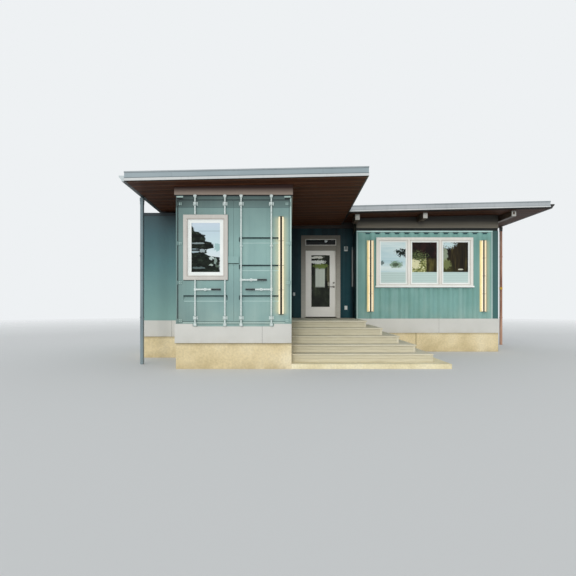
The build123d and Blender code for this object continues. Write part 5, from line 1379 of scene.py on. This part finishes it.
def window_panes():
    """The four fixed panes, each with its own painted reflections."""
    parts = []
    for look, x, z, y in (("pane_leaf", *LEAF_PANE), ("pane_sky", LITE_SPANS[0], LITE_Z, LITE_Y),
                          ("pane_room", LITE_SPANS[1], LITE_Z, LITE_Y),
                          ("pane_dark", LITE_SPANS[2], LITE_Z, LITE_Y)):
        parts.append((look, [tuple(zip(x, y, z))], 0.001))
    piece("window_panes", parts, "pane", "window_glass")


def light_bars():
    """Linear lights: two lit lenses either side of a bronze bar, on a base with end caps.

    Those of the long side stand on a pale plate about 0.2 m wide, a painted glow of the light on
    the wall."""
    parts = []
    low, high = LIGHT_Z
    for x, face in LIGHTS:

        def strips(offset, half, depth, end):
            """Upright strips at both sides of the bar."""
            return [((x + side * offset - half, face - depth[0], low + end),
                     (x + side * offset + half, face - depth[1], high - end)) for side in (-1, 1)]

        def across(half, depth, bottom, top):
            """Box across the middle of the bar."""
            return (x - half, face - depth[0], bottom), (x + half, face - depth[1], top)

        body = [across(0.0205, (0.061, 0.020), low + 0.002, high - 0.002),
                across(0.034, (0.0215, 0.0), low + 0.040, high - 0.040),
                across(0.053, (0.061, 0.020), low, low + 0.008),
                across(0.053, (0.061, 0.020), high - 0.008, high)]
        for share in (0.25, 0.5, 0.75):
            z = low + share * (high - low)
            body.append(across(0.053, (0.0605, 0.022), z - 0.004, z + 0.004))
        # Painted glow: pale plates beside the lights of the long side.
        if face > 0:
            for look, left, right in (("glow_plate_left", -0.102, -0.030),
                                      ("glow_plate_right", 0.030, 0.098)):
                plate = (x + left, face - 0.012, low), (x + right, face - 0.002, high)
                parts.append((look, [plate], 0.002))
        parts += [("lens", strips(0.0365, 0.0155, (0.0595, 0.0225), 0.006), 0.003),
                  ("lens_back", strips(0.044, 0.006, (0.0222, 0.0195), 0.05), 0.0),
                  ("lens_side", strips(0.0525, 0.001, (0.056, 0.026), 0.03), 0.0),
                  ("bronze", body, 0.002)]
    piece("light_bars", parts, "light_lens", "wall_lights")


def porch_details():
    """Threshold, painted shadow lines beside the door casing, transom border and the cover screws.
    """
    dark = [((1.662, 4.226, 0.951), (2.578, 4.262, 0.984)),
            # Painted shadow lines beside the door casing.
            ((2.7155, 4.250, 0.955), (2.7235, 4.258, 3.455)),
            ((3.096, 4.238, 0.955), (3.1065, 4.258, 3.60))]
    low, high = BOX["transom_glass"]
    face = BOX["entry_door_frame"][0].y
    bm = bmesh.new()
    add_ring(bm, (low.x - 0.012, high.x + 0.012), (low.z - 0.022, high.z + 0.022),
             (face - 0.010, face + 0.006), 0.026, 0.002)
    points = [(2.883, 4.2105, 1.226), (2.883, 4.2105, 1.294), (2.845, 4.2415, 2.990),
              (2.927, 4.2415, 2.990), (1.312, 4.2415, 1.632), (1.312, 4.2415, 1.708)]
    screws = scatter(screw_head(0.005, 0.002), points, "hardware", 0.3, 5)
    piece("porch_details", [("threshold_and_shadow", dark, 0.002), solid(bm, "casing"), screws],
          "fitting_plastic")


def skirt_shadow_lines():
    """Painted shadow line along the bottom of the skirt boards' front."""
    front = BOX["skirt_boards"][0].y
    dark = [((-1.24, front - 0.001, 0.538), (1.24, front + 0.015, 0.546))]
    piece("skirt_drip_line", [("gap", dark, 0.001)], "skirt_paint")


def studio_floor():
    """Pale floor that fades out into the surround."""
    finish = Finish("studio_floor_pale", Roughness=0.9)
    finish.shader.inputs["Base Color"].default_value = linear("D9DADA")
    away = finish.add("VectorMath", {0: finish.place}, operation="LENGTH").outputs["Value"]
    clear = finish.add("BsdfTransparent")
    blend = finish.add("MixShader", {0: finish.spread(away, 14, 40)})
    out = next(node for node in finish.tree.nodes if node.type == "OUTPUT_MATERIAL")
    wire(finish.tree, (finish.shader, 0, blend, 1), (clear, 0, blend, 2),
         (blend, 0, out, "Surface"))
    bm = bmesh.new()
    bmesh.ops.create_circle(bm, cap_ends=True, segments=96, radius=60)
    floor = solid(bm)
    floor.name = "studio_floor"
    floor.location = (2.0, 2.0, -0.001)
    floor.data.materials.append(finish.material)


def studio_surround():
    """Plain soft light from all round, seen as a pale surround."""
    world = bpy.data.worlds.new("studio_surround")
    bpy.context.scene.world = world
    world.use_nodes = True
    tree = world.node_tree
    tree.nodes.clear()
    path, first, second, light, seen, choose, out = [
        tree.nodes.new("ShaderNode" + kind) for kind in (
            "LightPath", "Math", "Math", "Background", "Background", "MixShader", "OutputWorld")]
    first.operation = second.operation = "MAXIMUM"
    for node, colour, strength in ((light, (0.93, 0.97, 1.0, 1.0), 0.68),
                                   (seen, linear("EEF1F3"), 1.0)):
        node.inputs["Color"].default_value = colour
        node.inputs["Strength"].default_value = strength
    wire(tree, (path, "Is Camera Ray", first, 0), (path, "Is Glossy Ray", first, 1),
         (first, 0, second, 0), (path, "Is Transmission Ray", second, 1), (second, 0, choose, 0),
         (light, 0, choose, 1), (seen, 0, choose, 2), (choose, 0, out, "Surface"))


def studio_lamps():
    """Soft lamp from the front left and a low one along the front."""
    for name, energy, spread, towards in (("key_light", 0.45, 35, (-0.45, -0.85, 0.75)),
                                          ("low_fill_light", 1.05, 14, (-0.1, -1.0, 0.19))):
        lamp = bpy.data.lights.new(name, "SUN")
        lamp.energy = energy
        lamp.angle = math.radians(spread)
        lamp.color = (1.0, 0.97, 0.92)
        light = object_of(name, lamp)
        light.rotation_euler = Vector(towards).to_track_quat("Z", "Y").to_euler()
        light.visible_glossy = False


def photo_camera():
    """Camera in the photograph's place, with its framing."""
    camera = bpy.data.cameras.new("photo_camera")
    camera.sensor_fit = "HORIZONTAL"
    camera.sensor_width = SENSOR_MM
    camera.lens = FOCAL_PX * SENSOR_MM / IMAGE_PX
    camera.shift_x, camera.shift_y = SHIFT
    camera.clip_end = 300
    eye = object_of("photo_camera", camera)
    eye.location = CAMERA_AT
    eye.rotation_euler = (math.radians(90), 0, 0)
    bpy.context.scene.camera = eye
    bpy.context.scene.view_settings.view_transform = "Standard"


for step in (studio_floor, studio_surround, studio_lamps, photo_camera, paint_nodes, soffit_lining,
             roof_seams, fascia_bands, gutter_fittings, beam_ends, wing_flashing, deck_boards,
             tread_boards, riser_boards, platform_boards, door_gaskets, pressing_painted_light,
             end_frame_trim, gear_bolts, handle_grips, bar_rings, casing_beads, casing_inner_line,
             rib_end_notches, long_side_lines, window_panes, light_bars, porch_details,
             skirt_shadow_lines):
    step()
